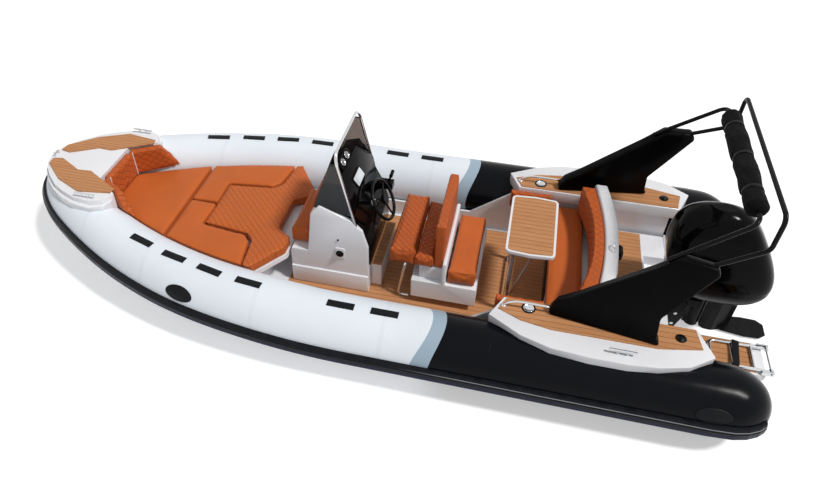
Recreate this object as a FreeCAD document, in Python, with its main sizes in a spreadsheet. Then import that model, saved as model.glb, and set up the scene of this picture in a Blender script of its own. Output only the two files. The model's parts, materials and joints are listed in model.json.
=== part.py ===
# Inflatable rib boat, modelled afloat: X towards the bow, Y to port, Z up.
# The origin is on the waterline and the centreline. Lengths are millimetres.
import FreeCAD, Part

import math
import os

import Sketcher

# Driving dimensions. Stations run forward from the tips of the stern cones, heights up from the water.
SIZES = {
    "origin_station": 3200.0,
    "seat_gap": 0.3,
    "overrun": 20.0,
    "moving_gap": 6.0,
    # Buoyancy tubes
    "tube_radius": 275.0,
    "tube_centre": 1030.0,
    "tube_crest": 580.0,
    "cone_length": 420.0,
    "bow_start": 3000.0,
    "bow_reach": 3170.0,
    "bow_rise": 150.0,
    "white_end": 2430.0,
    "band_width": 105.0,
    "crown_radius": 360.0,
    "rail_height": 120.0,
    "rail_thick": 40.0,
    # Wear strips and handles on the tubes
    "strip_length": 215.0,
    "strip_width": 62.0,
    "strip_thick": 6.0,
    # Hull
    "transom_station": 580.0,
    "stem_station": 6260.0,
    "sole_height": 60.0,
    "draft": 420.0,
    "chine_half": 800.0,
    "chine_height": 10.0,
    "hull_side": 822.0,
    "hull_side_height": 120.0,
    "liner_half": 752.0,
    "liner_thick": 22.0,
    "liner_low": 225.0,
    "liner_high": 520.0,
    "liner_slope": 330.0,
    "liner_end": 5500.0,
    "sole_teak_half": 690.0,
    "teak_thick": 8.0,
    # Bow
    "nose_station": 5420.0,
    "nose_length": 815.0,
    "nose_half": 560.0,
    "nose_top": 780.0,
    "nose_depth": 330.0,
    "nose_step": 45.0,
    "nose_ledge": 28.0,
    "nose_pad_thick": 12.0,
    "nose_pad_half": 470.0,
    "cleat_length": 190.0,
    "cleat_height": 48.0,
    "cleat_bar": 18.0,
    "bow_base_station": 3840.0,
    "bow_base_length": 1600.0,
    "bow_base_half": 685.0,
    "bow_base_top": 400.0,
    "bow_base_recess": 190.0,
    "bow_shelf_length": 1800.0,
    "bow_shelf_half": 820.0,
    "bow_shelf_thick": 45.0,
    "pad_room": 14.0,
    "cushion_thick": 100.0,
    "cushion_seam": 6.0,
    "front_pad_station": 4920.0,
    "infill_front": 4650.0,
    "infill_wing": 4090.0,
    "infill_half": 330.0,
    "bow_back_height": 278.0,
    "bow_back_thick": 70.0,
    "bow_back_half": 195.0,
    "bow_back_wing": 470.0,
    "bow_back_wing_top": 290.0,
    # Console
    "console_station": 3100.0,
    "console_length": 700.0,
    "console_half": 375.0,
    "console_top": 970.0,
    "console_seat_half": 290.0,
    "console_seat_low": 450.0,
    "console_seat_top": 600.0,
    "wheel_boss": 34.0,
    "step_half": 285.0,
    "step_length": 95.0,
    "step_top": 330.0,
    "dash_half": 345.0,
    "dash_thick": 14.0,
    "plinth_top": 250.0,
    "plinth_out": 16.0,
    "screen_top": 1480.0,
    "screen_half": 360.0,
    "screen_thick": 6.0,
    "screen_rail": 25.0,
    "wheel_radius": 190.0,
    "wheel_rim": 28.0,
    "wheel_station": 3055.0,
    "wheel_height": 830.0,
    "wheel_rake": 30.0,
    "wheel_hub": 42.0,
    "wheel_hub_depth": 60.0,
    "wheel_shaft": 16.0,
    "throttle_length": 120.0,
    "throttle_width": 80.0,
    "throttle_height": 60.0,
    "throttle_lever": 150.0,
    # Helm seat
    "helm_station": 2160.0,
    "helm_length": 560.0,
    "helm_half": 410.0,
    "helm_ledge": 340.0,
    "helm_toe": 70.0,
    "helm_seat_top": 640.0,
    "bolster_length": 212.0,
    "bolster_half": 380.0,
    "bolster_thick": 160.0,
    "rear_cushion_length": 165.0,
    "rear_cushion_drop": 50.0,
    "helm_back_station": 2460.0,
    "helm_back_thick": 78.0,
    "helm_back_top": 945.0,
    "helm_frame_thick": 34.0,
    "helm_box_length": 200.0,
    "aft_seat_length": 235.0,
    "aft_seat_top": 490.0,
    "aft_seat_border": 24.0,
    "foot_tube": 25.0,
    "foot_reach": 120.0,
    # Table
    "table_station": 1590.0,
    "table_length": 390.0,
    "table_half": 375.0,
    "table_top": 800.0,
    "table_thick": 28.0,
    "table_rim": 18.0,
    "table_corner": 42.0,
    "table_leg": 20.0,
    "table_leg_half": 320.0,
    "table_leg_foot": 42.0,
    "table_foot_thick": 10.0,
    "table_brace": 11.0,
    # Aft bench
    "bench_station": 1090.0,
    "bench_length": 530.0,
    "bench_seat_top": 505.0,
    "bench_back_top": 790.0,
    "bench_back_thick": 85.0,
    "bench_seat_length": 300.0,
    "side_bolster_height": 190.0,
    "side_bolster_thick": 55.0,
    # Side decks and stern
    "deck_station": 430.0,
    "deck_length": 1600.0,
    "deck_inner": 700.0,
    "deck_outer": 1140.0,
    "deck_top": 635.0,
    "deck_thick": 55.0,
    "aft_deck_height": 300.0,
    "well_half": 400.0,
    "well_length": 190.0,
    "well_floor": 200.0,
    "platform_aft": -60.0,
    "platform_inner": 420.0,
    "platform_outer": 735.0,
    "platform_thick": 75.0,
    # Arch
    "arch_station": 750.0,
    "arch_length": 860.0,
    "arch_height": 757.0,
    "arch_thick": 95.0,
    "arch_centre": 835.0,
    "arch_lean": 9.0,
    "arch_toe": 9.0,
    "frame_rise": 310.0,
    "frame_tube": 32.0,
    "beam_radius": 82.0,
    "beam_half": 590.0,
    "hoop_reach": 110.0,
    "hoop_rise": 90.0,
    # Boarding ladder
    "ladder_width": 220.0,
    "ladder_length": 420.0,
    "ladder_tube": 25.0,
    "ladder_centre": 590.0,
    # Outboard
    "steer_station": 330.0,
    "tilt_station": 500.0,
    "tilt_height": 330.0,
    "tilt_tube_radius": 22.0,
    "cowl_station": -90.0,
    "cowl_length": 830.0,
    "cowl_half": 235.0,
    "cowl_bottom": 600.0,
    "cowl_height": 650.0,
    "engine_length": 400.0,
    "engine_half": 135.0,
    "engine_height": 360.0,
    "leg_width": 150.0,
    "leg_length": 235.0,
    "plate_height": -430.0,
    "plate_thick": 12.0,
    "gear_radius": 62.0,
    "gear_length": 480.0,
    "prop_height": -640.0,
    "prop_radius": 190.0,
    "prop_hub": 58.0,
    "prop_hub_length": 150.0,
    "blade_thick": 10.0,
    "clamp_half": 165.0,
    "clamp_plate": 28.0,
    "clamp_height": 420.0,
    "tray_height": 222.0,
    "splash_height": 20.0,
    "splash_length": 520.0,
    # Tow bracket
    "tow_height": 160.0,
    "tow_half": 60.0,
    "tow_tube": 16.0,
}

doc = FreeCAD.newDocument("rib_boat")
sheet = doc.addObject("Spreadsheet::Sheet", "Sizes")
for row, (size_name, size_value) in enumerate(SIZES.items(), start=1):
    sheet.set("A%d" % row, size_name)
    sheet.set("B%d" % row, repr(size_value))
    sheet.setAlias("B%d" % row, size_name)
doc.recompute()


class Size:
    """A value together with the sheet expression that gives it."""

    def __init__(self, value, text):
        self.value = value
        self.text = text

    def __add__(self, other):
        other = as_size(other)
        return Size(self.value + other.value, "(%s + %s)" % (self.text, other.text))

    def __sub__(self, other):
        other = as_size(other)
        return Size(self.value - other.value, "(%s - %s)" % (self.text, other.text))

    def __mul__(self, share):
        share = as_size(share)
        return Size(self.value * share.value, "(%s * %s)" % (self.text, share.text))

    def __truediv__(self, share):
        share = as_size(share)
        return Size(self.value / share.value, "(%s / %s)" % (self.text, share.text))

    def __neg__(self):
        return Size(-self.value, "(0 - %s)" % self.text)


def as_size(item):
    """Takes a plain share or a zero as a size."""
    if isinstance(item, Size):
        return item
    return Size(float(item), "(%.9f)" % item)


def size(name):
    """Reads one named cell."""
    return Size(float(sheet.get(name)), "Sizes." + name)


def station(name):
    """Place along X of a named station."""
    return size(name) - size("origin_station")


def bind(item, prop, value):
    """Sets a property now and ties it to its cells."""
    value = as_size(value)
    item.setExpression(prop, value.text)


def place(item, where, axis=(0, 0, 1), angle=0):
    """Puts an object at a place made of sizes, turned about one axis."""
    where = [as_size(w) for w in where]
    base = FreeCAD.Vector(*[w.value for w in where])
    turn = as_size(angle)
    item.Placement = FreeCAD.Placement(base, FreeCAD.Rotation(FreeCAD.Vector(*axis), turn.value))
    for letter, w in zip("xyz", where):
        bind(item, "Placement.Base.%s" % letter, w)
    if isinstance(angle, Size):
        bind(item, "Placement.Rotation.Angle", turn)
    return item


nodes = []


def keep(item, label):
    """Names a finished sub-part."""
    item.Label = label
    nodes.append(item)
    return item


def box(label, length, width, height, where, kept=True):
    item = doc.addObject("Part::Box", label if kept else label + "_tool")
    bind(item, "Length", length)
    bind(item, "Width", width)
    bind(item, "Height", height)
    place(item, where)
    return keep(item, label) if kept else item


def cylinder(label, radius, height, where, axis=(0, 0, 1), angle=0, kept=True):
    item = doc.addObject("Part::Cylinder", label if kept else label + "_tool")
    bind(item, "Radius", radius)
    bind(item, "Height", height)
    place(item, where, axis, angle)
    return keep(item, label) if kept else item


def sketch_on(body, role, points, name):
    """Closed outline on one of the body's own planes, each corner tied to its sizes."""
    sketch = body.newObject("Sketcher::SketchObject", name)
    plane = [f for f in body.Origin.OriginFeatures if f.Role == role][0]
    sketch.AttachmentSupport = [(plane, "")]
    sketch.MapMode = "FlatFace"
    points = [(as_size(a), as_size(b)) for a, b in points]
    vectors = [FreeCAD.Vector(a.value, b.value, 0) for a, b in points]
    count = len(points)
    for i in range(count):
        sketch.addGeometry(Part.LineSegment(vectors[i], vectors[(i + 1) % count]), False)
    for i in range(count):
        sketch.addConstraint(Sketcher.Constraint("Coincident", i, 2, (i + 1) % count, 1))
    for i, (a, b) in enumerate(points):
        for kind, term in (("DistanceX", a), ("DistanceY", b)):
            index = sketch.addConstraint(Sketcher.Constraint(kind, -1, 1, i, 1, term.value))
            sketch.setExpression("Constraints[%d]" % index, term.text)
    return sketch


def prism(label, role, points, depth, where, axis=(0, 0, 1), angle=0, rounding=None, kept=True):
    """A padded outline. On XZ_Plane the pad runs towards -Y, on XY_Plane up and on YZ_Plane forward."""
    body = doc.addObject("PartDesign::Body", label if kept else label + "_tool")
    sketch = sketch_on(body, role, points, label + "_outline")
    pad = body.newObject("PartDesign::Pad", label + "_pad")
    pad.Profile = sketch
    bind(pad, "Length", depth)
    doc.recompute()
    if rounding is not None:
        way = {"XY_Plane": FreeCAD.Vector(0, 0, 1), "XZ_Plane": FreeCAD.Vector(0, 1, 0),
               "YZ_Plane": FreeCAD.Vector(1, 0, 0)}[role]
        names = []
        for i, edge in enumerate(pad.Shape.Edges, start=1):
            run = edge.Vertexes[-1].Point - edge.Vertexes[0].Point
            if run.Length > 0 and abs(abs(run.normalize().dot(way)) - 1) < 1e-6:
                names.append("Edge%d" % i)
        fillet = body.newObject("PartDesign::Fillet", label + "_round")
        fillet.Base = (pad, names)
        bind(fillet, "Radius", rounding)
    place(body, where, axis, angle)
    doc.recompute()
    return keep(body, label) if kept else body


def shares_outline(shares, along, up):
    """Turns a table of shares into corners."""
    return [(along * a, up * b) for a, b in shares]


def mirrored_outline(shares, along, half):
    """One side's shares, closed by the other side's."""
    other = [(a, -b) for a, b in reversed(shares) if b != 0]
    return shares_outline(shares + other, along, half)


def revolved(label, points, where, axis=(0, 0, 1), angle=0, kept=True):
    """An outline of (along, radius) turned about the body's X axis."""
    body = doc.addObject("PartDesign::Body", label if kept else label + "_tool")
    sketch = sketch_on(body, "XY_Plane", points, label + "_outline")
    turn = body.newObject("PartDesign::Revolution", label + "_turn")
    turn.Profile = sketch
    turn.ReferenceAxis = ([f for f in body.Origin.OriginFeatures if f.Role == "X_Axis"][0], [""])
    turn.Angle = 360.0
    place(body, where, axis, angle)
    doc.recompute()
    return keep(body, label) if kept else body


def boolean(kind, label, *items, kept=True):
    """A cut takes a base and a tool, the others take a list."""
    item = doc.addObject(kind, label if kept else label + "_tool")
    if kind == "Part::Cut":
        item.Base, item.Tool = items
    elif kind == "Part::Compound":
        item.Links = list(items)
    else:
        item.Shapes = list(items)
    doc.recompute()
    return keep(item, label) if kept else item


def feature(label, shape, kept=True):
    """A shape that profiles and primitives don't give."""
    item = doc.addObject("Part::Feature", label if kept else label + "_tool")
    item.Shape = shape
    item.Placement = FreeCAD.Placement()
    return keep(item, label) if kept else item


def tube_path(points, radius, bend):
    """Round bar along straight runs joined by tangent arcs."""
    points = [FreeCAD.Vector(*p) for p in points]
    edges = []
    last = points[0]
    for i in range(1, len(points) - 1):
        before = (points[i - 1] - points[i]).normalize()
        after = (points[i + 1] - points[i]).normalize()
        half_turn = (math.pi - before.getAngle(after)) / 2
        reach = bend * math.tan(half_turn)
        start = points[i] + before * reach
        end = points[i] + after * reach
        inward = (before + after).normalize()
        middle = points[i] + inward * (bend / math.cos(half_turn) - bend)
        edges.append(Part.makeLine(last, start))
        edges.append(Part.Arc(start, middle, end).toShape())
        last = end
    edges.append(Part.makeLine(last, points[-1]))
    wire = Part.Wire(edges)
    way = (points[1] - points[0]).normalize()
    ring = Part.Wire([Part.makeCircle(radius, points[0], way)])
    pipe = Part.BRepOffsetAPI.MakePipeShell(wire)
    pipe.setFrenetMode(True)
    pipe.add(ring)
    pipe.build()
    pipe.makeSolid()
    return pipe.shape()


both_sides = (("port", 1), ("starboard", -1))
crest = size("tube_crest")
axis_height = crest - size("tube_radius")
sole = size("sole_height")

# Tubes: straight aft part with domed cone, lofted bow, and three colours parted by crowned joints.
# Shares of the bow: along its reach, of the tube's centre, of its rise, of its radius.
bow_shares = [
    (0.000, 1.000, 0.00, 1.000), (0.050, 1.000, 0.01, 1.000), (0.130, 0.997, 0.06, 0.999),
    (0.210, 0.986, 0.13, 0.996), (0.290, 0.967, 0.20, 0.990),
    (0.400, 0.928, 0.30, 0.975), (0.510, 0.860, 0.38, 0.955), (0.615, 0.767, 0.50, 0.925),
    (0.700, 0.670, 0.62, 0.895), (0.785, 0.550, 0.76, 0.860), (0.870, 0.405, 0.88, 0.825),
    (0.945, 0.230, 0.96, 0.790), (0.990, 0.000, 1.00, 0.775),
]


def bow_sections():
    """Centres, radii and headings of the bow's sections, from port round to starboard."""
    reach = size("bow_reach").value
    start = station("bow_start").value
    rows = []
    for along, out, rise, round_share in bow_shares:
        radius = size("tube_radius").value * round_share
        height = crest.value + size("bow_rise").value * rise - radius
        rows.append((start + reach * along, size("tube_centre").value * out, height, radius))
    rows = rows + [(x, -y, z, r) for x, y, z, r in reversed(rows[:-1])]
    centres = [FreeCAD.Vector(x, y, z) for x, y, z, r in rows]
    ways = []
    for i, centre in enumerate(centres):
        before = centres[max(i - 1, 0)]
        after = centres[min(i + 1, len(centres) - 1)]
        way = after - before
        ways.append(FreeCAD.Vector(way.x, way.y, 0).normalize())
    ways[0] = FreeCAD.Vector(1, 0, 0)
    ways[-1] = FreeCAD.Vector(-1, 0, 0)
    ways[1] = FreeCAD.Vector(1, 0, 0)
    ways[-2] = FreeCAD.Vector(-1, 0, 0)
    return [(centre, way, row[3]) for centre, way, row in zip(centres, ways, rows)]


def bow_loft(extra):
    """The bow tube's solid, grown by a clearance."""
    rings = [Part.Wire([Part.makeCircle(r + extra, centre, way)]) for centre, way, r in bow_sections()]
    return Part.makeLoft(rings, True, False)


bow_tube = feature("bow_tube", bow_loft(0), kept=False)
crown_x = station("white_end") + size("crown_radius")
far = size("bow_reach") + size("bow_start")
tall = size("tube_radius") * 4


def crowned(name, radius, centre_x):
    """Everything forward of the two crowned joints."""
    parts = [box(name + "_ahead", far, far, tall, (centre_x, -far / 2, -tall / 4), kept=False)]
    for side, sign in both_sides:
        parts.append(cylinder(name + "_" + side, radius, tall,
                              (centre_x, size("tube_centre") * sign, -tall / 4), kept=False))
    return boolean("Part::MultiFuse", name, *parts, kept=False)


white_zone = crowned("white_zone", size("crown_radius"), crown_x)
band_zone = crowned("band_zone", size("crown_radius") + size("band_width"), crown_x)
straights = []
for side, sign in both_sides:
    run = cylinder("white_run_" + side, size("tube_radius"), size("bow_start") - size("white_end") + size("overrun"),
                   (station("white_end") - size("overrun"), size("tube_centre") * sign, axis_height),
                   (0, 1, 0), 90, kept=False)
    straights.append(run)
white_whole = boolean("Part::MultiFuse", "white_whole", bow_tube, *straights, kept=False)
boolean("Part::MultiCommon", "tube_bow", white_whole, white_zone)

# Shares of the cone's length and radius.
bands = []
cone_shares = [(0.0, 0.30), (0.03, 0.42), (0.10, 0.58), (0.22, 0.74), (0.40, 0.88), (0.62, 0.965), (1.0, 1.0)]


def aft_run(name, side, sign, reach, extra):
    """A straight tube with its stern cone, grown by a clearance."""
    outline = [(-extra, as_size(0))]
    outline += [(size("cone_length") * a - extra, size("tube_radius") * b + extra) for a, b in cone_shares]
    outline += [(reach, size("tube_radius") + extra), (reach, as_size(0))]
    return revolved(name + side, outline,
                    (-size("origin_station"), size("tube_centre") * sign, axis_height), kept=False)


for side, sign in both_sides:
    whole = aft_run("aft_run_", side, sign, size("white_end") + size("crown_radius"), as_size(0))
    boolean("Part::Cut", "tube_" + side, whole, band_zone)
    band_run = boolean("Part::Cut", "band_run_" + side, whole, white_zone, kept=False)
    bands.append(boolean("Part::MultiCommon", "band_" + side, band_run, band_zone, kept=False))
boolean("Part::Compound", "tube_bands", *bands)

# Room that everything seated on the tubes is cut to.
grown_tubes = [feature("grown_bow", bow_loft(size("seat_gap").value), kept=False)]
for side, sign in both_sides:
    grown_tubes.append(aft_run("grown_", side, sign, size("bow_start"), size("seat_gap")))
tube_room = boolean("Part::MultiFuse", "tube_room", *grown_tubes, kept=False)

# Rub rail round both tubes and the bow. Shares of its height and thickness.
rail_shares = [(0.5, 0.45), (0.22, 1.0), (-0.22, 1.0), (-0.5, 0.45)]


def rail_ring(centre, way, r):
    """The rail's section beside one tube section, sunk behind the tube's skin."""
    height = size("rail_height").value
    thick = size("rail_thick").value
    out = FreeCAD.Vector(-way.y, way.x, 0)
    up = FreeCAD.Vector(0, 0, 1)
    deep = r - thick
    corners = [(deep, -height / 2), (deep, height / 2)]
    corners += [(r + thick * b, height * a) for a, b in rail_shares]
    points = [centre + out * a + up * b for a, b in corners]
    return Part.makePolygon(points + [points[0]])


def rail_loft():
    """Round the bow, along both straight runs and onto the stern cones."""
    rows = bow_sections()
    solids = [Part.makeLoft([rail_ring(*row) for row in rows], True, False)]
    for end in (rows[0], rows[-1]):
        sections = [end]
        for along, share in reversed(cone_shares[2:]):
            x = size("cone_length").value * along - size("origin_station").value
            sections.append((FreeCAD.Vector(x, end[0].y, end[0].z), end[1], size("tube_radius").value * share))
        solids.append(Part.makeLoft([rail_ring(*row) for row in sections], True, True))
    return solids[0].fuse(solids[1:])


rail_blank = feature("rail_blank", rail_loft(), kept=False)
boolean("Part::Cut", "rub_rail", rail_blank, tube_room)

# Hull: a deep V up to the sole. Shares: station along the hull, chine, chine rise, keel depth, side, side rise.
hull_shares = [
    (0.00, 1.00, 0.00, 0.90, 1.00, 0.00), (0.30, 1.00, 0.00, 1.00, 1.00, 0.00),
    (0.58, 0.97, 0.05, 1.00, 0.985, 0.05), (0.74, 0.84, 0.22, 0.86, 0.88, 0.25),
    (0.86, 0.62, 0.42, 0.55, 0.68, 0.50), (0.945, 0.36, 0.62, 0.10, 0.42, 0.70),
    (1.00, 0.10, 0.90, -0.55, 0.12, 0.95),
]


def hull_loft():
    length = size("stem_station").value - size("transom_station").value
    wires = []
    for along, chine, rise, keel, side, side_rise in hull_shares:
        x = station("transom_station").value + length * along
        lift = size("tube_radius").value
        out = size("chine_half").value * chine
        low = size("chine_height").value + lift * rise
        top_out = size("hull_side").value * side
        top = size("hull_side_height").value + lift * side_rise
        depth = -size("draft").value * keel
        corners = [(0, depth), (out, low), (top_out, top), (-top_out, top), (-out, low)]
        points = [FreeCAD.Vector(x, a, b) for a, b in corners]
        wires.append(Part.makePolygon(points + [points[0]]))
    return Part.makeLoft(wires, True, True)


hull_blank = feature("hull_blank", hull_loft(), kept=False)
liner_outer_shares = [(0.0, 1.0), (0.63, 1.0), (0.72, 0.93), (0.80, 0.84), (0.88, 0.70), (0.94, 0.56), (1.0, 0.36)]
cockpit_room = prism("cockpit_room", "XY_Plane",
                     mirrored_outline(liner_outer_shares,
                                      size("liner_end") - size("transom_station") + size("seat_gap"),
                                      size("liner_half") + size("seat_gap")), tall,
                     (station("transom_station"), 0, sole), kept=False)
hull_solid = boolean("Part::Cut", "hull_solid", hull_blank, tube_room, kept=False)
boolean("Part::Cut", "hull", hull_solid, cockpit_room)

# Liner: the cockpit's inner sides, low forward and rising to the side decks aft.
# Shares of its length and half breadth, on the outside.
liners = []
liner_run = size("liner_end") - size("transom_station")
deck_front = size("deck_station") + size("deck_length") - size("transom_station")
for side, sign in both_sides:
    half = size("liner_half") * sign
    outer = [(liner_run * a, half * b) for a, b in liner_outer_shares]
    thick = size("liner_thick") * sign
    inner = [(liner_run * a, half * b - thick) for a, b in reversed(liner_outer_shares)]
    blank = prism("liner_blank_" + side, "XY_Plane", outer + inner, size("liner_high") - sole,
                  (station("transom_station"), 0, sole), kept=False)
    liners.append(blank)
liner_open = [(deck_front + size("liner_slope"), size("liner_low")), (liner_run * 2, size("liner_low")),
              (liner_run * 2, size("liner_high") * 2), (deck_front - size("overrun") * 2, size("liner_high") * 2),
              (deck_front - size("overrun") * 2, size("liner_high"))]
liner_open = prism("liner_open", "XZ_Plane", liner_open, size("liner_half") * 3,
                   (station("transom_station"), size("liner_half") * 1.5, 0), kept=False)
liner_tool = boolean("Part::MultiFuse", "liner_tool", tube_room, liner_open, kept=False)
boolean("Part::Compound", "cockpit_liner",
        *[boolean("Part::Cut", blank.Label + "_cut", blank, liner_tool, kept=False) for blank in liners])


floor = sole + size("teak_thick")
gap = size("seat_gap")


def group(label, items):
    """Like pieces on one body that share a node."""
    return boolean("Part::Compound", label, *items)


def centred_box(label, start, length, half, low, height, kept=True):
    """A box centred across the boat."""
    return box(label, length, half * 2, height, (start, -half, low), kept)


def bar(label, points, radius, bend, kept=True):
    """Bent round bar through corners made of sizes."""
    corners = [[as_size(c).value for c in p] for p in points]
    if len(corners) == 2:
        start, end = [FreeCAD.Vector(*c) for c in corners]
        solid = Part.makeCylinder(radius.value, (end - start).Length, start, end - start)
    else:
        solid = tube_path(corners, radius.value, bend.value)
    return feature(label, solid, kept)


def both_ends(points):
    """Corners of a bar that is alike on both sides."""
    return points + [(x, -y, z) for x, y, z in reversed(points)]


# Teak sole
sole_run = size("bow_base_station") - size("transom_station")
centred_box("sole_teak", station("transom_station"), sole_run, size("sole_teak_half"), sole, size("teak_thick"))

# Black wear strips bonded over the tubes' crests. Places are shares of the bow's reach.
strip_shares = (-0.063, 0.047, 0.290, 0.4006, 0.508, 0.615)


def tube_point(share):
    """Centre's place across and heading at a share of the bow's reach."""
    for low, high in zip(bow_shares, bow_shares[1:]):
        if low[0] <= share <= high[0]:
            mix = (share - low[0]) / (high[0] - low[0])
            slope = (high[1] - low[1]) * size("tube_centre").value / ((high[0] - low[0]) * size("bow_reach").value)
            return low[1] + (high[1] - low[1]) * mix, math.degrees(math.atan(slope))
    return 1.0, 0.0


skin = [feature("skin_bow", bow_loft((size("seat_gap") + size("strip_thick")).value), kept=False)]
strip_boxes = []
for side, sign in both_sides:
    skin.append(aft_run("skin_", side, sign, size("bow_start"), size("seat_gap") + size("strip_thick")))
    for number, share in enumerate(strip_shares):
        out, heading = tube_point(share)
        turn = math.radians(heading) * sign
        length = size("strip_length") / 2
        width = size("strip_width") / 2
        strip = box("strip_%s_%d" % (side, number), length * 2, width * 2, tall,
                    (station("bow_start") + size("bow_reach") * share - length * math.cos(turn)
                     + width * math.sin(turn),
                     size("tube_centre") * (out * sign) - length * math.sin(turn) - width * math.cos(turn),
                     axis_height), kept=False)
        strip.Placement.Rotation = FreeCAD.Rotation(FreeCAD.Vector(0, 0, 1), heading * sign)
        strip_boxes.append(strip)
skin_whole = boolean("Part::MultiFuse", "skin_whole", *skin, kept=False)
skin_shell = boolean("Part::Cut", "skin_shell", skin_whole, tube_room, kept=False)
strip_zone = boolean("Part::Compound", "strip_zone", *strip_boxes, kept=False)
boolean("Part::MultiCommon", "wear_strips", skin_shell, strip_zone)

# Nose deck over the bow tube, with a wider step low on its side. Shares of its length and half breadth.
nose_shares = [(-0.02, 0.80), (0.03, 0.93), (0.15, 1.0), (0.37, 0.955), (0.55, 0.845), (0.70, 0.72), (0.85, 0.53),
               (0.97, 0.33), (1.02, 0.19), (1.04, 0.08)]
nose_inner_shares = [(0.258, 0.475), (-0.02, 0.725)]
nose_low = size("nose_top") - size("nose_depth")
nose_blank = prism("nose_blank", "XY_Plane",
                   mirrored_outline(nose_inner_shares + nose_shares, size("nose_length"), size("nose_half")),
                   size("nose_depth"), (station("nose_station"), 0, nose_low), kept=False)
step_outline = mirrored_outline(nose_inner_shares + [(a * 1.02, b * 1.02) for a, b in nose_shares],
                                size("nose_length"), size("nose_half") + size("nose_ledge"))
nose_skirt = prism("nose_skirt", "XY_Plane", step_outline, size("nose_depth") - size("nose_step"),
                   (station("nose_station"), 0, nose_low), kept=False)
nose_whole = boolean("Part::MultiFuse", "nose_whole", nose_blank, nose_skirt, kept=False)
boolean("Part::Cut", "nose_deck", nose_whole, tube_room)
nose_pad_shares = [(0.0, 0.77), (0.01, 0.89), (0.37, 0.98), (0.70, 0.72), (0.97, 0.32), (0.98, 0.15),
                   (0.87, 0.11), (0.575, 0.385), (0.42, 0.365)]
pads = []
for side, sign in both_sides:
    outline = shares_outline(nose_pad_shares, size("nose_length"), size("nose_pad_half") * sign)
    pads.append(prism("nose_pad_" + side, "XY_Plane", outline, size("nose_pad_thick"),
                      (station("nose_station"), 0, size("nose_top")), kept=False))
group("nose_pads", pads)

# Cleats: a bar on two feet.
cleat_places = [("bow", size("nose_station") + size("cleat_length"), size("nose_half") * 0.925, size("nose_top")),
                ("aft", size("deck_station") + size("deck_length") * 0.4, size("deck_outer") * 0.93,
                 size("deck_top"))]


def cleat(label, start, across, low):
    length = size("cleat_length")
    rod = size("cleat_bar") / 2
    top = low + size("cleat_height")
    middle = start - size("origin_station")
    lift = cylinder(label + "_bar", rod, length, (middle - length / 2, across, top - rod), (0, 1, 0), 90, kept=False)
    parts = [lift]
    for end, share in (("fore", 0.18), ("aft", -0.18)):
        parts.append(cylinder(label + "_" + end, rod, size("cleat_height") - rod,
                              (middle + length * share, across, low), kept=False))
    return boolean("Part::MultiFuse", label, *parts, kept=False)


cleats = []
for name, start, across, low in cleat_places:
    for side, sign in both_sides:
        cleats.append(cleat("cleat_%s_%s" % (name, side), start, across * sign, low))
group("cleats", cleats)

# Bow seating: moulded base, sun pad in five cushions and a backrest in three.
base_shares = [(0.0, 0.92), (0.05, 0.94), (0.22, 0.92), (0.43, 0.835), (0.67, 0.665), (0.86, 0.47), (1.0, 0.26)]
base_low = prism("base_low", "XY_Plane",
                 mirrored_outline(base_shares, size("bow_base_length") - size("bow_base_recess"),
                                  size("bow_base_half")),
                 size("bow_base_top") - sole,
                 (station("bow_base_station") + size("bow_base_recess"), 0, sole), kept=False)
shelf_shares = [(0.0, 0.51), (0.115, 0.87), (0.135, 1.0), (0.62, 0.90), (1.0, 0.45)]
base_shelf = prism("base_shelf", "XY_Plane",
                   mirrored_outline(shelf_shares, size("bow_shelf_length"), size("bow_shelf_half")),
                   size("bow_shelf_thick"),
                   (station("bow_base_station") - size("overrun"), 0, size("bow_base_top") - size("bow_shelf_thick")),
                   kept=False)
base_whole = boolean("Part::MultiFuse", "base_whole", base_low, base_shelf, kept=False)
boolean("Part::Cut", "bow_base", base_whole, tube_room)
pad_low = size("bow_base_top") + gap
pad_room = feature("pad_room", bow_loft(size("pad_room").value), kept=False)
pad_out = size("bow_shelf_half")
front_pad_shares = [(0.0, 0.95), (0.45, 0.85), (1.0, 0.48)]
bow_front_length = station("nose_station") + size("nose_length") * 0.258 - station("front_pad_station")
front_blank = prism("front_blank", "XY_Plane", mirrored_outline(front_pad_shares, bow_front_length, pad_out),
                    size("cushion_thick"), (station("front_pad_station"), 0, pad_low), kept=False)
boolean("Part::Cut", "bow_cushion_front", front_blank, pad_room)

seam = size("cushion_seam") / 2
aft_edge = station("bow_base_station") - size("overrun")
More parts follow.
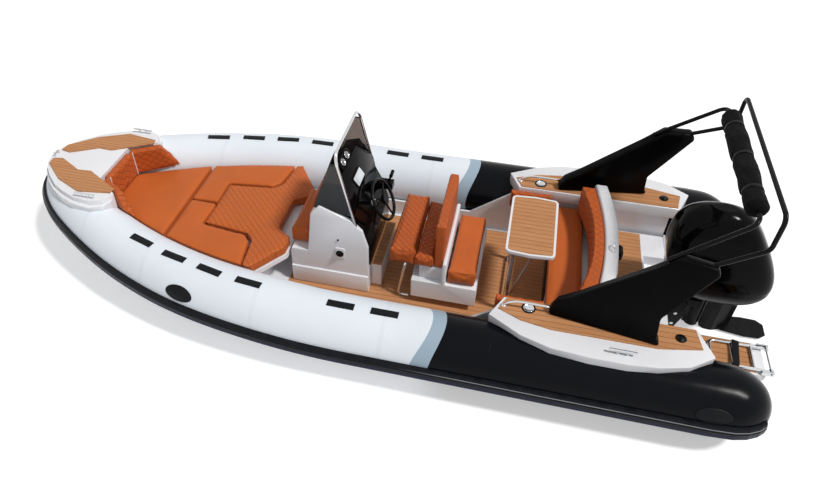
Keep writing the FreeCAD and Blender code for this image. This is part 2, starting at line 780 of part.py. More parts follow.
# Shares of the U-shaped seam: between its wing and its front, and of its half breadth.
seam_shares = [(1.0, 0.88), (0.23, 1.05), (0.11, 1.27), (0.0, 2.6)]
infills = []
for side, sign in both_sides:
    front = station("front_pad_station") - size("cushion_seam")
    wing = station("infill_wing")
    nose = station("infill_front")
    inner = size("infill_half")
    line = [(wing + (nose - wing) * a, inner * b) for a, b in seam_shares]
    outline = [(front, seam), (front, pad_out * 0.95), (wing + seam, pad_out * 1.05)]
    outline += [(a + seam, b + seam) for a, b in reversed(line[:-1])] + [(nose + seam, seam)]
    outline = [(a, b * sign) for a, b in outline]
    blank = prism("side_pad_" + side, "XY_Plane", outline, size("cushion_thick"), (0, 0, pad_low), kept=False)
    boolean("Part::Cut", "bow_cushion_" + side, blank, pad_room)
    outline = [(nose - seam, seam)] + [(a - seam, b - seam) for a, b in line[:-1]]
    outline += [(wing - seam, pad_out * 1.05), (wing - inner * 0.12, pad_out * 1.05),
                (wing - inner * 0.20, pad_out * 0.87), (aft_edge, pad_out * 0.52), (aft_edge, size("console_seat_half") + seam),
                (aft_edge + inner * 0.40, size("console_seat_half") * 0.7), (aft_edge + inner * 0.40, seam)]
    outline = [(a, b * sign) for a, b in outline]
    blank = prism("infill_" + side, "XY_Plane", outline, size("cushion_thick"), (0, 0, pad_low), kept=False)
    infills.append(boolean("Part::Cut", "infill_cut_" + side, blank, pad_room, kept=False))
group("bow_infill", infills)

# Bow backrest: a centre panel against the nose deck and two wings whose aft ends slope.
back_low = pad_low + size("cushion_thick") + gap
back_front = station("nose_station") + size("nose_length") * 0.258 - gap
back_thick = size("bow_back_thick")
backs = [centred_box("bow_back_centre", back_front - back_thick, back_thick, size("bow_back_half"), back_low,
                     size("bow_back_height"), kept=False)]
wing_turn = 148.8
wing_sine = math.sin(math.radians(wing_turn))
wing_cosine = math.cos(math.radians(wing_turn))
wing_outline = [(0, 0), (size("bow_back_wing"), 0), (size("bow_back_wing_top"), size("bow_back_height")),
                (0, size("bow_back_height"))]
for side, sign in both_sides:
    start = (back_front - back_thick * 0.62, size("bow_back_half") + seam * 2)
    if sign < 0:
        start = (start[0] + back_thick * wing_sine, start[1] - back_thick * wing_cosine)
    wing = prism("bow_wing_" + side, "XZ_Plane", wing_outline, back_thick, (start[0], start[1] * sign, back_low),
                 (0, 0, 1), wing_turn * sign, kept=False)
    backs.append(boolean("Part::Cut", "bow_wing_cut_" + side, wing, pad_room, kept=False))
group("bow_backrest", backs)

# Console: moulding, seat in front, teak step behind, dash, instruments, screen and its rail.
console_shares = [(0.0, 0.0), (1.0, 0.0), (1.0, 0.38)]
console_upper_shares = [(0.70, 0.89), (0.585, 1.0), (0.215, 0.88), (0.07, 0.767), (0.0, 0.567)]
console_height = size("console_top") - floor
seat_ledge = size("console_seat_low") - gap - floor
console_outline = shares_outline(console_shares, size("console_length"), console_height)
console_outline += [(size("console_length") * 0.985, seat_ledge), (size("console_length") * 0.77, seat_ledge)]
console_outline += shares_outline(console_upper_shares, size("console_length"), console_height)
console_body = prism("console_body", "XZ_Plane", console_outline, size("console_half") * 2,
                     (station("console_station"), size("console_half"), floor), kept=False)
plinth = centred_box("console_plinth", station("console_station"), size("console_length"),
                     size("console_half") + size("plinth_out"), floor, size("plinth_top") - floor, kept=False)
seat_front = aft_edge - seam
seat_aft = station("console_station") + size("console_length") * 0.77 + gap
centred_box("console_seat", seat_aft, seat_front - seat_aft, size("console_seat_half"), size("console_seat_low"),
            size("console_seat_top") - size("console_seat_low"))
step_start = station("console_station") - size("step_length") - gap
centred_box("console_step", step_start, size("step_length"), size("step_half"), floor,
            size("step_top") - floor - size("teak_thick"))
deck_teak = [centred_box("step_teak", step_start, size("step_length"), size("step_half"),
                         size("step_top") - size("teak_thick"), size("teak_thick"), kept=False)]
# Shares of the console's length and height, down its aft slope and back up outside.
dash_low_shares = [(0.0, 0.33), (0.0, 0.567), (0.07, 0.767), (0.215, 0.88), (0.585, 1.0)]
dash_shares = [(0.53, 1.20), (0.36, 1.24), (0.18, 1.04), (0.155, 0.93)]
dash_skin_shares = [(0.07, 0.767), (0.0, 0.567), (0.0, 0.33)]
dash_thick = size("dash_thick")
dash_outline = shares_outline(dash_low_shares + dash_shares, size("console_length"), console_height)
dash_outline += [(a - dash_thick, b + dash_thick * 0.4)
                 for a, b in shares_outline(dash_skin_shares[:2], size("console_length"), console_height)]
dash_outline.append((-dash_thick, console_height * 0.33))
dash_blank = prism("dash_blank", "XZ_Plane", dash_outline, size("dash_half") * 2,
                   (station("console_station"), size("dash_half"), floor), kept=False)

# Steering wheel: rim, three spokes, hub and shaft about an axis that leans back.
wheel_axis = FreeCAD.Vector(-math.cos(math.radians(size("wheel_rake").value)), 0,
                            math.sin(math.radians(size("wheel_rake").value)))
wheel_centre = (station("wheel_station"), as_size(0), size("wheel_height"))
wheel_angle = size("wheel_rake") - 90
rim = doc.addObject("Part::Torus", "wheel_rim_tool")
bind(rim, "Radius1", size("wheel_radius") - size("wheel_rim") / 2)
bind(rim, "Radius2", size("wheel_rim") / 2)
place(rim, wheel_centre, (0, 1, 0), wheel_angle)
hub = cylinder("wheel_hub", size("wheel_hub"), size("wheel_hub_depth") / 2, wheel_centre, (0, 1, 0), wheel_angle,
               kept=False)
centre_point = FreeCAD.Vector(*[c.value for c in wheel_centre])
shaft_length = size("wheel_hub_depth").value * 1.5
shaft_end = centre_point - wheel_axis * shaft_length
shaft = feature("wheel_shaft", Part.makeCylinder(size("wheel_shaft").value, shaft_length, shaft_end, wheel_axis),
                kept=False)
boss_face = shaft_end - wheel_axis * gap.value
boss = feature("wheel_boss", Part.makeCylinder(size("wheel_boss").value, shaft_length, boss_face, -wheel_axis),
               kept=False)
console = boolean("Part::MultiFuse", "console", console_body, plinth, boss)
spokes = []
across = FreeCAD.Vector(0, 1, 0)
upward = wheel_axis.cross(across)
for number in range(3):
    turn = math.radians(90 + 120 * number)
    way = across * math.cos(turn) + upward * math.sin(turn)
    reach = size("wheel_radius").value - size("wheel_rim").value / 2
    spokes.append(feature("wheel_spoke_%d" % number,
                          Part.makeCylinder(size("wheel_rim").value * 0.3, reach, centre_point, way), kept=False))
boolean("Part::MultiFuse", "steering_wheel", rim, hub, shaft, *spokes)

# Windscreen: a thin wrap-round shell, open aft, with a stainless rail along its aft edge.
# Shares of the console's length and of the screen's height above the console's top edge.
screen_shares = [(0.655, -0.06), (0.39, 1.0), (0.20, -0.14)]
screen_rise = size("screen_top") - size("console_top")
screen_low = size("console_top") - floor


def screen_outline(inset):
    """The wedge seen from the side, drawn in from its front by a wall."""
    length = size("console_length")
    points = [(length * a, screen_low + screen_rise * b) for a, b in screen_shares]
    front, top, foot = points
    if inset == 0:
        return points
    reach = size("overrun")
    return [(front[0] - inset, front[1] - inset), (front[0] - inset, front[1]), (top[0] - inset, top[1]),
            (top[0] - inset - reach, top[1] + reach), (foot[0] - reach, foot[1] + reach),
            (foot[0] - reach, foot[1] - reach)]


screen_wall = size("screen_thick")
screen_outer = prism("screen_outer", "XZ_Plane", screen_outline(0), size("screen_half") * 2,
                     (station("console_station"), size("screen_half"), floor), kept=False)
screen_inner = prism("screen_inner", "XZ_Plane", screen_outline(screen_wall), (size("screen_half") - screen_wall) * 2,
                     (station("console_station"), size("screen_half") - screen_wall, floor), kept=False)
screen_face_shares = [(-1.0, 0.0), (1.0, 0.0), (1.0, 0.93), (0.93, 0.98), (0.75, 1.0), (-0.75, 1.0), (-0.93, 0.98),
                      (-1.0, 0.93)]
screen_face = prism("screen_face", "YZ_Plane", shares_outline(screen_face_shares, size("screen_half"),
                                                              size("screen_top") - sole),
                    size("console_length"), (station("console_station"), 0, sole), kept=False)
screen_shell = boolean("Part::Cut", "screen_shell", screen_outer, screen_inner, kept=False)
screen_part = boolean("Part::MultiCommon", "screen_part", screen_shell, screen_face, kept=False)
boolean("Part::Cut", "windscreen", screen_part, console_body)
rail_points = [(station("console_station") + size("console_length") * a, size("screen_half") * s,
                size("console_top") + screen_rise * b)
               for a, b, s in ((0.1436, -0.35, 1), (0.371, 1.0, 1), (0.371, 1.0, -1), (0.1436, -0.35, -1))]
rail_bar = bar("rail_bar", rail_points, size("screen_rail") / 2, size("screen_rail") * 4, kept=False)
boolean("Part::Cut", "screen_rail", rail_bar, console_body)

# Throttle: a box on the console's aft slope with one lever.
throttle_start = station("console_station") - size("throttle_length") * 0.60
throttle_low = floor + console_height * 0.767
throttle_across = -size("console_half") * 0.72
throttle_box = box("throttle_box", size("throttle_length"), size("throttle_width"), size("throttle_height"),
                   (throttle_start, throttle_across - size("throttle_width") / 2, throttle_low), kept=False)
lever_foot = (throttle_start + size("throttle_length") / 2, throttle_across, throttle_low)
lever_top = (lever_foot[0] - size("throttle_lever") * 0.3, throttle_across, throttle_low + size("throttle_lever"))
lever = bar("throttle_arm", [lever_foot, lever_top], size("throttle_width") * 0.12, None, kept=False)
knob = cylinder("throttle_knob", size("throttle_width") * 0.2, size("throttle_width"),
                (lever_top[0], throttle_across - size("throttle_width") / 2, lever_top[2]), (1, 0, 0), -90, kept=False)
throttle = boolean("Part::MultiFuse", "throttle", throttle_box, lever, knob)
dash_rest = boolean("Part::Cut", "dash_rest", dash_blank, console, kept=False)
boolean("Part::Cut", "dash_pod", dash_rest, throttle)

# Helm seat: moulded base with a toe recess, dark seat box, bolster, cushions, backrest on a frame.
helm_start = station("helm_station")
helm_rise = size("helm_ledge") - floor
centred_box("helm_toe", helm_start + size("helm_toe") / 2, size("helm_length") - size("helm_toe"),
            size("helm_half") - size("helm_toe"), floor, size("helm_toe"), kept=False)
helm_upper = centred_box("helm_upper", helm_start, size("helm_length"), size("helm_half"), floor + size("helm_toe"),
                         helm_rise - size("helm_toe"), kept=False)
back_aft = station("helm_back_station")
cushion_low = size("helm_seat_top") - size("bolster_thick")
helm_frame = centred_box("helm_frame", back_aft - gap - size("helm_frame_thick"), size("helm_frame_thick"),
                         size("helm_half"), floor + size("helm_toe"),
                         size("helm_seat_top") - floor - size("helm_toe") - size("bolster_thick") * 0.4, kept=False)
boolean("Part::MultiFuse", "helm_base", doc.getObject("helm_toe_tool"), helm_upper, helm_frame)
seat_start = back_aft + size("helm_back_thick") + gap
centred_box("helm_box", back_aft, size("helm_box_length"), size("bolster_half") - size("overrun"),
            size("helm_ledge"), cushion_low - size("helm_ledge") - gap)
centred_box("helm_cushion", seat_start, size("rear_cushion_length"), size("bolster_half"), cushion_low,
            size("bolster_thick") - size("rear_cushion_drop"))
centred_box("helm_bolster", seat_start + size("rear_cushion_length") + gap, size("bolster_length"),
            size("bolster_half"), cushion_low, size("bolster_thick"))
centred_box("helm_back", back_aft, size("helm_back_thick"), size("bolster_half") * 0.98, cushion_low,
            size("helm_back_top") - cushion_low)
centred_box("aft_seat", helm_start + size("overrun"), size("aft_seat_length"),
            size("helm_half") - size("aft_seat_border"),
            size("helm_ledge") + gap, size("aft_seat_top") - size("helm_ledge") - gap)
foot_front = helm_start + size("helm_length") + size("foot_reach")
foot_across = size("bolster_half") - size("foot_tube")
foot_low = floor + gap + size("foot_tube") / 2
foot_top = cushion_low - gap - size("foot_tube") / 2
boolean("Part::Compound", "helm_rails",
        bar("foot_rail", both_ends([(helm_start + size("helm_length") + size("foot_tube"), foot_across, foot_low),
                                    (foot_front, foot_across, foot_low),
                                    (foot_front - size("foot_reach") / 2, foot_across, foot_top)]),
            size("foot_tube") / 2, size("foot_tube") * 1.6, kept=False))

# Table: teak panel in a pale rim, with bowed ends and round corners, on two legs and two braces.
# Shares of its length and half breadth.
table_start = station("table_station")
table_shares = [(0.0, 0.955), (0.5, 1.0), (1.0, 0.955)]
rim_outer = prism("table_blank", "XY_Plane", mirrored_outline(table_shares, size("table_length"), size("table_half")),
                  size("table_thick"), (table_start, 0, size("table_top") - size("table_thick")),
                  rounding=size("table_corner"), kept=False)
panel = mirrored_outline(table_shares, size("table_length") - size("table_rim") * 2,
                         size("table_half") - size("table_rim"))
panel_corner = size("table_corner") - size("table_rim")
rim_room = prism("table_room", "XY_Plane", panel, size("table_thick"),
                 (table_start + size("table_rim"), 0, size("table_top") - size("teak_thick")),
                 rounding=panel_corner, kept=False)
boolean("Part::Cut", "table_rim", rim_outer, rim_room)
prism("table_teak", "XY_Plane", panel, size("teak_thick"),
      (table_start + size("table_rim"), 0, size("table_top") - size("teak_thick")), rounding=panel_corner)
leg_x = table_start + size("table_length") - size("table_leg_foot") * 1.5
table_low = size("table_top") - size("table_thick")
leg_parts = [cylinder("table_tie", size("table_brace"), size("table_leg_half") * 2,
                      (leg_x, size("table_leg_half"), floor + size("table_leg_foot") * 1.5), (1, 0, 0), 90, kept=False)]
for side, sign in both_sides:
    across = size("table_leg_half") * sign
    leg_parts.append(cylinder("table_post_" + side, size("table_leg"), table_low - floor, (leg_x, across, floor),
                              kept=False))
    for name, low in (("foot_", floor), ("head_", table_low - size("table_foot_thick"))):
        leg_parts.append(cylinder("table_" + name + side, size("table_leg_foot"), size("table_foot_thick"),
                                  (leg_x, across, low), kept=False))
    brace = [(leg_x, across, floor + size("table_leg_foot") * 2),
             (leg_x - size("table_length") * 0.4, across, table_low)]
    leg_parts.append(bar("table_brace_" + side, brace, size("table_brace"), None, kept=False))
table_frame = boolean("Part::MultiFuse", "table_frame", *leg_parts, kept=False)
table_above = centred_box("table_above", table_start, size("table_length"), size("table_half"), table_low,
                          size("table_length"), kept=False)
boolean("Part::Cut", "table_leg", table_frame, table_above)

# Aft bench: moulded base with its back shell, seat, curved backrest and side bolsters.
bench_shares = [(0.0, 0.0), (0.96, 0.0), (0.96, 0.455), (0.22, 0.455), (0.22, 0.96), (0.20, 1.0), (0.02, 1.0),
                (0.0, 0.93)]
bench_half = size("deck_inner") - gap
bench_start = station("bench_station")
bench_rise = size("bench_back_top") - floor
prism("bench_base", "XZ_Plane", shares_outline(bench_shares, size("bench_length"), bench_rise),
      bench_half * 2, (bench_start, bench_half, floor))
bench_seat_low = floor + bench_rise * 0.455 + gap
seat_shares = [(0.0, 0.0), (0.0, 0.55), (0.10, 1.0), (1.0, 1.0)]
prism("bench_cushion", "XY_Plane",
      mirrored_outline(seat_shares[1:], size("bench_seat_length"), bench_half - size("overrun") / 2),
      size("bench_seat_top") - bench_seat_low,
      (bench_start + size("bench_length") - size("bench_seat_length"), 0, bench_seat_low))
back_thick = size("bench_back_thick")
back_start = bench_start + size("bench_length") * 0.22 + gap
bench_back_shares = [(0.0, 0.93), (1.35, 0.93), (1.30, 0.80), (1.12, 0.60), (1.0, 0.30)]
prism("bench_back", "XY_Plane", mirrored_outline(bench_back_shares, back_thick, bench_half),
      size("bench_back_top") - size("bench_seat_top"), (back_start, 0, size("bench_seat_top") + gap))
bolsters = []
for side, sign in both_sides:
    thick = size("side_bolster_thick")
    low = size("deck_top") - size("side_bolster_height") - size("overrun")
    edge = size("deck_inner") - gap
    across = edge - thick if sign > 0 else -edge
    bolsters.append(box("side_bolster_" + side, size("table_length"), thick, size("side_bolster_height"),
                        (bench_start + size("bench_length") + gap, across, low), kept=False))
group("side_bolsters", bolsters)

# Side decks over the aft tubes, with teak along their inner side.
# Shares of the deck's length and of its outer half breadth.
deck_shares = [(1.0, 0.79), (0.845, 0.92), (0.71, 0.98), (0.54, 1.0), (0.37, 1.0), (0.24, 0.98), (0.11, 0.93),
               (0.0, 0.82)]
deck_teak_shares = [(0.96, 0.73), (0.85, 0.80), (0.71, 0.835), (0.24, 0.835), (0.05, 0.78)]
for side, sign in both_sides:
    outer = size("deck_outer") * sign
    inner = size("deck_inner") * sign
    outline = [(size("deck_length") * 0.06, inner), (size("deck_length") * 0.94, inner)]
    outline += shares_outline(deck_shares, size("deck_length"), outer)
    blank = prism("deck_blank_" + side, "XY_Plane", outline, size("deck_thick") * 2,
                  (station("deck_station"), 0, size("deck_top") - size("deck_thick") * 2), kept=False)
    boolean("Part::Cut", "side_deck_" + side, blank, tube_room)
    border = size("overrun") / 2 * sign
    outline = [(size("deck_length") * 0.07, inner + border), (size("deck_length") * 0.925, inner + border)]
    outline += shares_outline(deck_teak_shares, size("deck_length"), outer)
    deck_teak.append(prism("deck_teak_" + side, "XY_Plane", outline, size("teak_thick"),
                           (station("deck_station"), 0, size("deck_top")), kept=False))

# Aft deck with the engine's well, and a swim platform each side of the engine.
aft_run = size("bench_station") - size("transom_station") - gap
aft_blank = centred_box("aft_blank", station("transom_station") + gap, aft_run - gap, size("deck_inner"), floor,
                        size("aft_deck_height") - floor, kept=False)
well_room = centred_box("well_room", station("transom_station") - size("overrun"),
                        size("well_length") + size("overrun"), size("well_half"), size("well_floor"), tall,
                        kept=False)
boolean("Part::Cut", "aft_deck", aft_blank, well_room)
deck_teak.append(centred_box("aft_teak", station("transom_station") + size("well_length") + size("overrun"),
                             aft_run - size("well_length") - size("overrun") * 2,
                             size("deck_inner") - size("overrun"), size("aft_deck_height"), size("teak_thick"),
                             kept=False))
platform_run = size("transom_station") - size("platform_aft")
platform_shares = [(0.0, 0.09), (0.01, 0.03), (0.04, 0.0), (1.0, 0.0), (1.0, 1.0), (0.10, 1.0), (0.0, 0.95)]
inset_shares = [(0.12, 0.06), (0.97, 0.06), (0.97, 0.94), (0.12, 0.94)]
platforms = []
platform_wide = size("platform_outer") - size("platform_inner")
for side, sign in both_sides:
    for shares, rows, low, thick, name in (
            (platform_shares, platforms, size("aft_deck_height") - size("platform_thick"), size("platform_thick"),
             "platform_"),
            (inset_shares, deck_teak, size("aft_deck_height"), size("teak_thick"), "platform_teak_")):
        outline = [(platform_run * a - gap, (size("platform_inner") + platform_wide * b) * sign) for a, b in shares]
        rows.append(prism(name + side, "XY_Plane", outline, thick, (station("platform_aft"), 0, low), kept=False))
group("swim_platforms", platforms)
group("deck_teak", deck_teak)

# Arch: two raked legs that lean inwards, a bent tube across them, the rolled canopy round it and a hoop behind.
arch_shares = [(1.0, 0.075), (0.953, 0.181), (0.802, 0.313), (0.302, 0.815), (0.14, 1.0), (-0.122, 0.98),
               (-0.157, 0.908), (0.137, 0.306), (0.114, 0.074)]
arch_low = size("deck_top") + size("teak_thick") + gap
arch_outline = [(size("arch_length") * 0.058, -size("overrun")), (size("arch_length"), -size("overrun"))]
arch_outline += shares_outline(arch_shares, size("arch_length"), size("arch_height"))
arch_blank = prism("arch_blank", "XZ_Plane", arch_outline, size("arch_thick"),
                   (station("arch_station"), size("arch_centre") + size("arch_thick") / 2, arch_low),
                   (1, 0, 0), size("arch_lean"), kept=False)
arch_foot = box("arch_foot", size("arch_length") * 2, size("arch_centre") * 2, size("overrun") * 3,
                (station("arch_station") - size("arch_length") / 2, 0, arch_low - size("overrun") * 3), kept=False)
toe = size("arch_toe").value
toe_sine = math.sin(math.radians(toe))
arch_blank.Placement.Rotation = FreeCAD.Rotation(FreeCAD.Vector(0, 0, 1), -toe).multiply(
    FreeCAD.Rotation(FreeCAD.Vector(1, 0, 0), size("arch_lean").value))
arch_blank.setExpression("Placement.Rotation.Angle", None)
bind(arch_blank, "Placement.Base.y",
     size("arch_centre") + size("arch_thick") / 2 + size("arch_length") * (toe_sine * 0.5))
doc.recompute()
arch_port = boolean("Part::Cut", "arch_port", arch_blank, arch_foot)
arch_starboard = doc.addObject("Part::Mirroring", "arch_starboard")
arch_starboard.Source = arch_port
arch_starboard.Normal = (0, 1, 0)
doc.recompute()
keep(arch_starboard, "arch_starboard")
lean = math.tan(math.radians(size("arch_lean").value))


def arch_point(along, up):
    """A point in the leg's middle plane, as shares of the leg."""
    height = size("arch_height") * up
    return (station("arch_station") + size("arch_length") * along,
            size("arch_centre") - height * lean + size("arch_length") * (toe_sine * (0.5 - along)),
            arch_low + height)


frame_foot = arch_point(0.20, 0.90)
frame_corner = (frame_foot[0] - size("frame_rise") * 1.49, frame_foot[1] - size("frame_rise") * (lean * 1.18),
                frame_foot[2] + size("frame_rise") * 1.18)
arch_bar = bar("arch_bar", both_ends([frame_foot, frame_corner]), size("frame_tube") / 2, size("frame_tube") * 2.5,
               kept=False)
hoop_foot = arch_point(-0.05, 0.90)
hoop_knee = (frame_corner[0] - size("hoop_reach"), frame_corner[1] + size("frame_tube"),
             frame_corner[2] - size("hoop_rise") * 2)
hoop_top = (frame_corner[0] - size("hoop_reach"), frame_corner[1] + size("frame_tube"),
            frame_corner[2] + size("hoop_rise"))
arch_hoop = bar("arch_hoop", both_ends([hoop_foot, hoop_knee, hoop_top]), size("frame_tube") / 2,
                size("frame_tube") * 2, kept=False)
arch_legs = boolean("Part::Compound", "arch_legs", arch_port, arch_starboard, kept=False)
frame = [boolean("Part::Cut", label + "_cut", item, arch_legs, kept=False)
         for label, item in (("arch_bar", arch_bar), ("arch_hoop", arch_hoop))]
group("arch_tubes", frame)
roll_place = (frame_corner[0], size("beam_half"), frame_corner[2])
roll_blank = cylinder("roll_blank", size("beam_radius"), size("beam_half") * 2, roll_place, (1, 0, 0), 90, kept=False)
roll_room = cylinder("roll_room", size("frame_tube") / 2 + gap, size("beam_half") * 2, roll_place, (1, 0, 0), 90,
                     kept=False)
boolean("Part::Cut", "canopy_roll", roll_blank, roll_room)

# Tow bracket behind the bench.
post_x = station("bench_station") - size("tow_tube") * 3
post_low = size("aft_deck_height") + size("teak_thick") + gap
post_top = post_low + size("tow_height")
post_bar = bar("post_bar", both_ends([(post_x, size("tow_half"), post_low - size("overrun")),
                                      (post_x, size("tow_half") * 0.8, post_top)]),
               size("tow_tube") / 2, size("tow_tube") * 2, kept=False)
post_room = centred_box("post_room", post_x - size("tow_half"), size("tow_half") * 2, size("tow_half") * 2,
                        post_low - size("overrun") * 2, size("overrun") * 2, kept=False)
boolean("Part::Cut", "tow_post", post_bar, post_room)

# Boarding ladder, folded forward on the port platform. It hinges about a pin at the platform's aft edge.
ladder_rod = size("ladder_tube") / 2
ladder_pin_x = station("platform_aft") - size("ladder_tube")
ladder_pin_z = size("aft_deck_height") + size("teak_thick") + gap + ladder_rod
ladder_out = size("ladder_centre") + size("ladder_width") / 2
ladder_in = size("ladder_centre") - size("ladder_width") / 2
ladder_parts = [bar("ladder_rails", [(ladder_pin_x, ladder_out, ladder_pin_z),
                                     (ladder_pin_x + size("ladder_length"), ladder_out, ladder_pin_z),
                                     (ladder_pin_x + size("ladder_length"), ladder_in, ladder_pin_z),
                                     (ladder_pin_x, ladder_in, ladder_pin_z)], ladder_rod, size("ladder_tube") * 2,
                    kept=False)]
for number, share in enumerate((0.28, 0.62)):
    ladder_parts.append(cylinder("ladder_rung_%d" % number, ladder_rod * 0.9, size("ladder_width"),
                                 (ladder_pin_x + size("ladder_length") * share, ladder_out, ladder_pin_z),
                                 (1, 0, 0), 90, kept=False))
for name, across in (("outer", ladder_out), ("inner", ladder_in)):
    ladder_parts.append(cylinder("ladder_eye_" + name, ladder_rod * 1.5, ladder_rod * 2,
                                 (ladder_pin_x, across + ladder_rod, ladder_pin_z), (1, 0, 0), 90, kept=False))
ladder_whole = boolean("Part::MultiFuse", "ladder_whole", *ladder_parts, kept=False)
pin_room = cylinder("ladder_pin_room", ladder_rod * 0.6 + gap, size("ladder_width") * 2,
                    (ladder_pin_x, ladder_out + size("ladder_width") / 2, ladder_pin_z), (1, 0, 0), 90, kept=False)
boolean("Part::Cut", "ladder", ladder_whole, pin_room)
hinge_parts = [cylinder("ladder_pin", ladder_rod * 0.6, size("ladder_width") + ladder_rod * 6,
                        (ladder_pin_x, ladder_out + ladder_rod * 3, ladder_pin_z), (1, 0, 0), 90, kept=False)]
for name, across in (("outer", ladder_out + ladder_rod * 1.4), ("inner", ladder_in - ladder_rod * 2.4)):
    hinge_parts.append(box("ladder_lug_" + name, size("ladder_tube") * 3.4, ladder_rod, size("ladder_tube") * 1.5,
                           (ladder_pin_x - ladder_rod * 1.2, across, size("aft_deck_height") + gap), kept=False))
boolean("Part::MultiFuse", "ladder_hinge", *hinge_parts)

# Outboard. Clamp bracket on the transom, swivel bracket on the tilt tube, engine on the steering axis.
transom_x = station("transom_station")
tilt_x = station("tilt_station")
tilt_z = size("tilt_height")
clamp_parts = []
tube_r = size("tilt_tube_radius")
clamp_reach = transom_x - gap - tilt_x
clamp_drop = -size("clamp_height")
clamp_outline = [(clamp_reach, clamp_drop), (clamp_reach, -tube_r * 0.8), (tube_r * 1.6, tube_r * 0.6),
                 (tube_r * 0.8, tube_r * 1.5), (-tube_r * 0.8, tube_r * 1.5), (-tube_r * 1.8, tube_r * 0.6),
                 (-tube_r * 2, clamp_drop * 0.3), (clamp_reach * 0.3, clamp_drop * 0.85)]
for name, across in (("port", size("clamp_half")), ("starboard", size("clamp_plate") - size("clamp_half"))):
    clamp_parts.append(prism("clamp_" + name, "XZ_Plane", clamp_outline, size("clamp_plate"),
                             (tilt_x, across, tilt_z), kept=False))
clamp_parts.append(cylinder("tilt_tube", size("tilt_tube_radius"), size("clamp_half") * 2,
                            (tilt_x, size("clamp_half"), tilt_z), (1, 0, 0), 90, kept=False))
boolean("Part::MultiFuse", "clamp_bracket", *clamp_parts)
steer_x = station("steer_station")
swivel_half = size("clamp_half") - size("clamp_plate") - size("moving_gap")
swivel_length = tilt_x - steer_x
swivel_top = centred_box("swivel_top", steer_x + size("tilt_tube_radius"), swivel_length, swivel_half,
                         tilt_z - size("tilt_tube_radius") * 1.8, size("tilt_tube_radius") * 3.6, kept=False)
swivel_body = cylinder("swivel_body", size("tilt_tube_radius") * 2.6, size("clamp_height") * 1.1,
                       (steer_x, 0, tilt_z + size("tilt_tube_radius") * 1.8 - size("clamp_height") * 1.1), kept=False)
swivel_web = centred_box("swivel_web", steer_x, swivel_length * 0.45, size("tilt_tube_radius") * 1.4,
                         tilt_z - size("clamp_height") * 0.75, size("clamp_height") * 0.75, kept=False)
swivel_blank = boolean("Part::MultiFuse", "swivel_blank", swivel_top, swivel_body, swivel_web, kept=False)
tube_hole = cylinder("tilt_room", size("tilt_tube_radius") + gap, size("clamp_half") * 2,
                     (tilt_x, size("clamp_half"), tilt_z), (1, 0, 0), 90, kept=False)
king_hole = cylinder("king_room", size("tilt_tube_radius") + gap, size("clamp_height") * 2,
                     (steer_x, 0, tilt_z - size("clamp_height") * 1.5), kept=False)
swivel_holes = boolean("Part::MultiFuse", "swivel_holes", tube_hole, king_hole, kept=False)
boolean("Part::Cut", "swivel_bracket", swivel_blank, swivel_holes)

# Engine leg: king pin, yokes, housing, plate, gearcase and skeg, in one casting.
swivel_reach = size("tilt_tube_radius") * 2.6 + size("moving_gap")
swivel_bottom = tilt_z + size("tilt_tube_radius") * 1.8 - size("clamp_height") * 1.1
yoke_high = size("tilt_tube_radius") * 2
yoke_low = swivel_bottom - size("moving_gap") - yoke_high
leg_front = steer_x - swivel_reach
leg_half = size("leg_width") / 2
cover_low = size("cowl_bottom") - size("tray_height")
cover_shares = [(0.0, 0.30), (0.10, 0.80), (0.30, 1.0), (0.75, 1.0), (0.93, 0.75), (1.0, 0.35)]
lens_shares = [(0.0, 0.05), (0.25, 0.60), (0.60, 1.0), (0.85, 0.95), (1.0, 0.60)]
plate_z = size("plate_height")
prop_z = size("prop_height")
skeg_low = prop_z - size("gear_radius") * 3
leg_parts = []


def lens(label, start, length, half, low, height):
    """An upright piece with a blade-like outline."""
    return prism(label, "XY_Plane", mirrored_outline(lens_shares, length, half), height, (start, 0, low), kept=False)


def ring(shares, height):
    """A closed smooth outline, wider forward: start, length, half breadth and squareness, at a height."""
    start, length, half, square = shares
    points = []
    for step in range(24):
        turn = math.pi * 2 * step / 24
        across = math.copysign(abs(math.sin(turn)) ** square, math.sin(turn))
        along = math.copysign(abs(math.cos(turn)) ** square, math.cos(turn))
        points.append(FreeCAD.Vector(station("cowl_station").value + size("cowl_length").value * (start + length / 2)
                                     + size("cowl_length").value * length / 2 * along,
                                     size("cowl_half").value * half * across, height))
    curve = Part.BSplineCurve()
    curve.interpolate(points, True)
    return Part.Wire([curve.toShape()])


def moulding(rows, low, height, shrink=1.0):
    """A smooth solid through rings given by share of height, start, length, half breadth and squareness."""
    rings = []
    for up, start, length, half, square in rows:
        middle = start + length / 2
        rings.append(ring((middle - length / 2 * shrink, length * shrink, half * shrink, square),
                          low.value + height.value * up))
    return Part.makeLoft(rings, True, False)


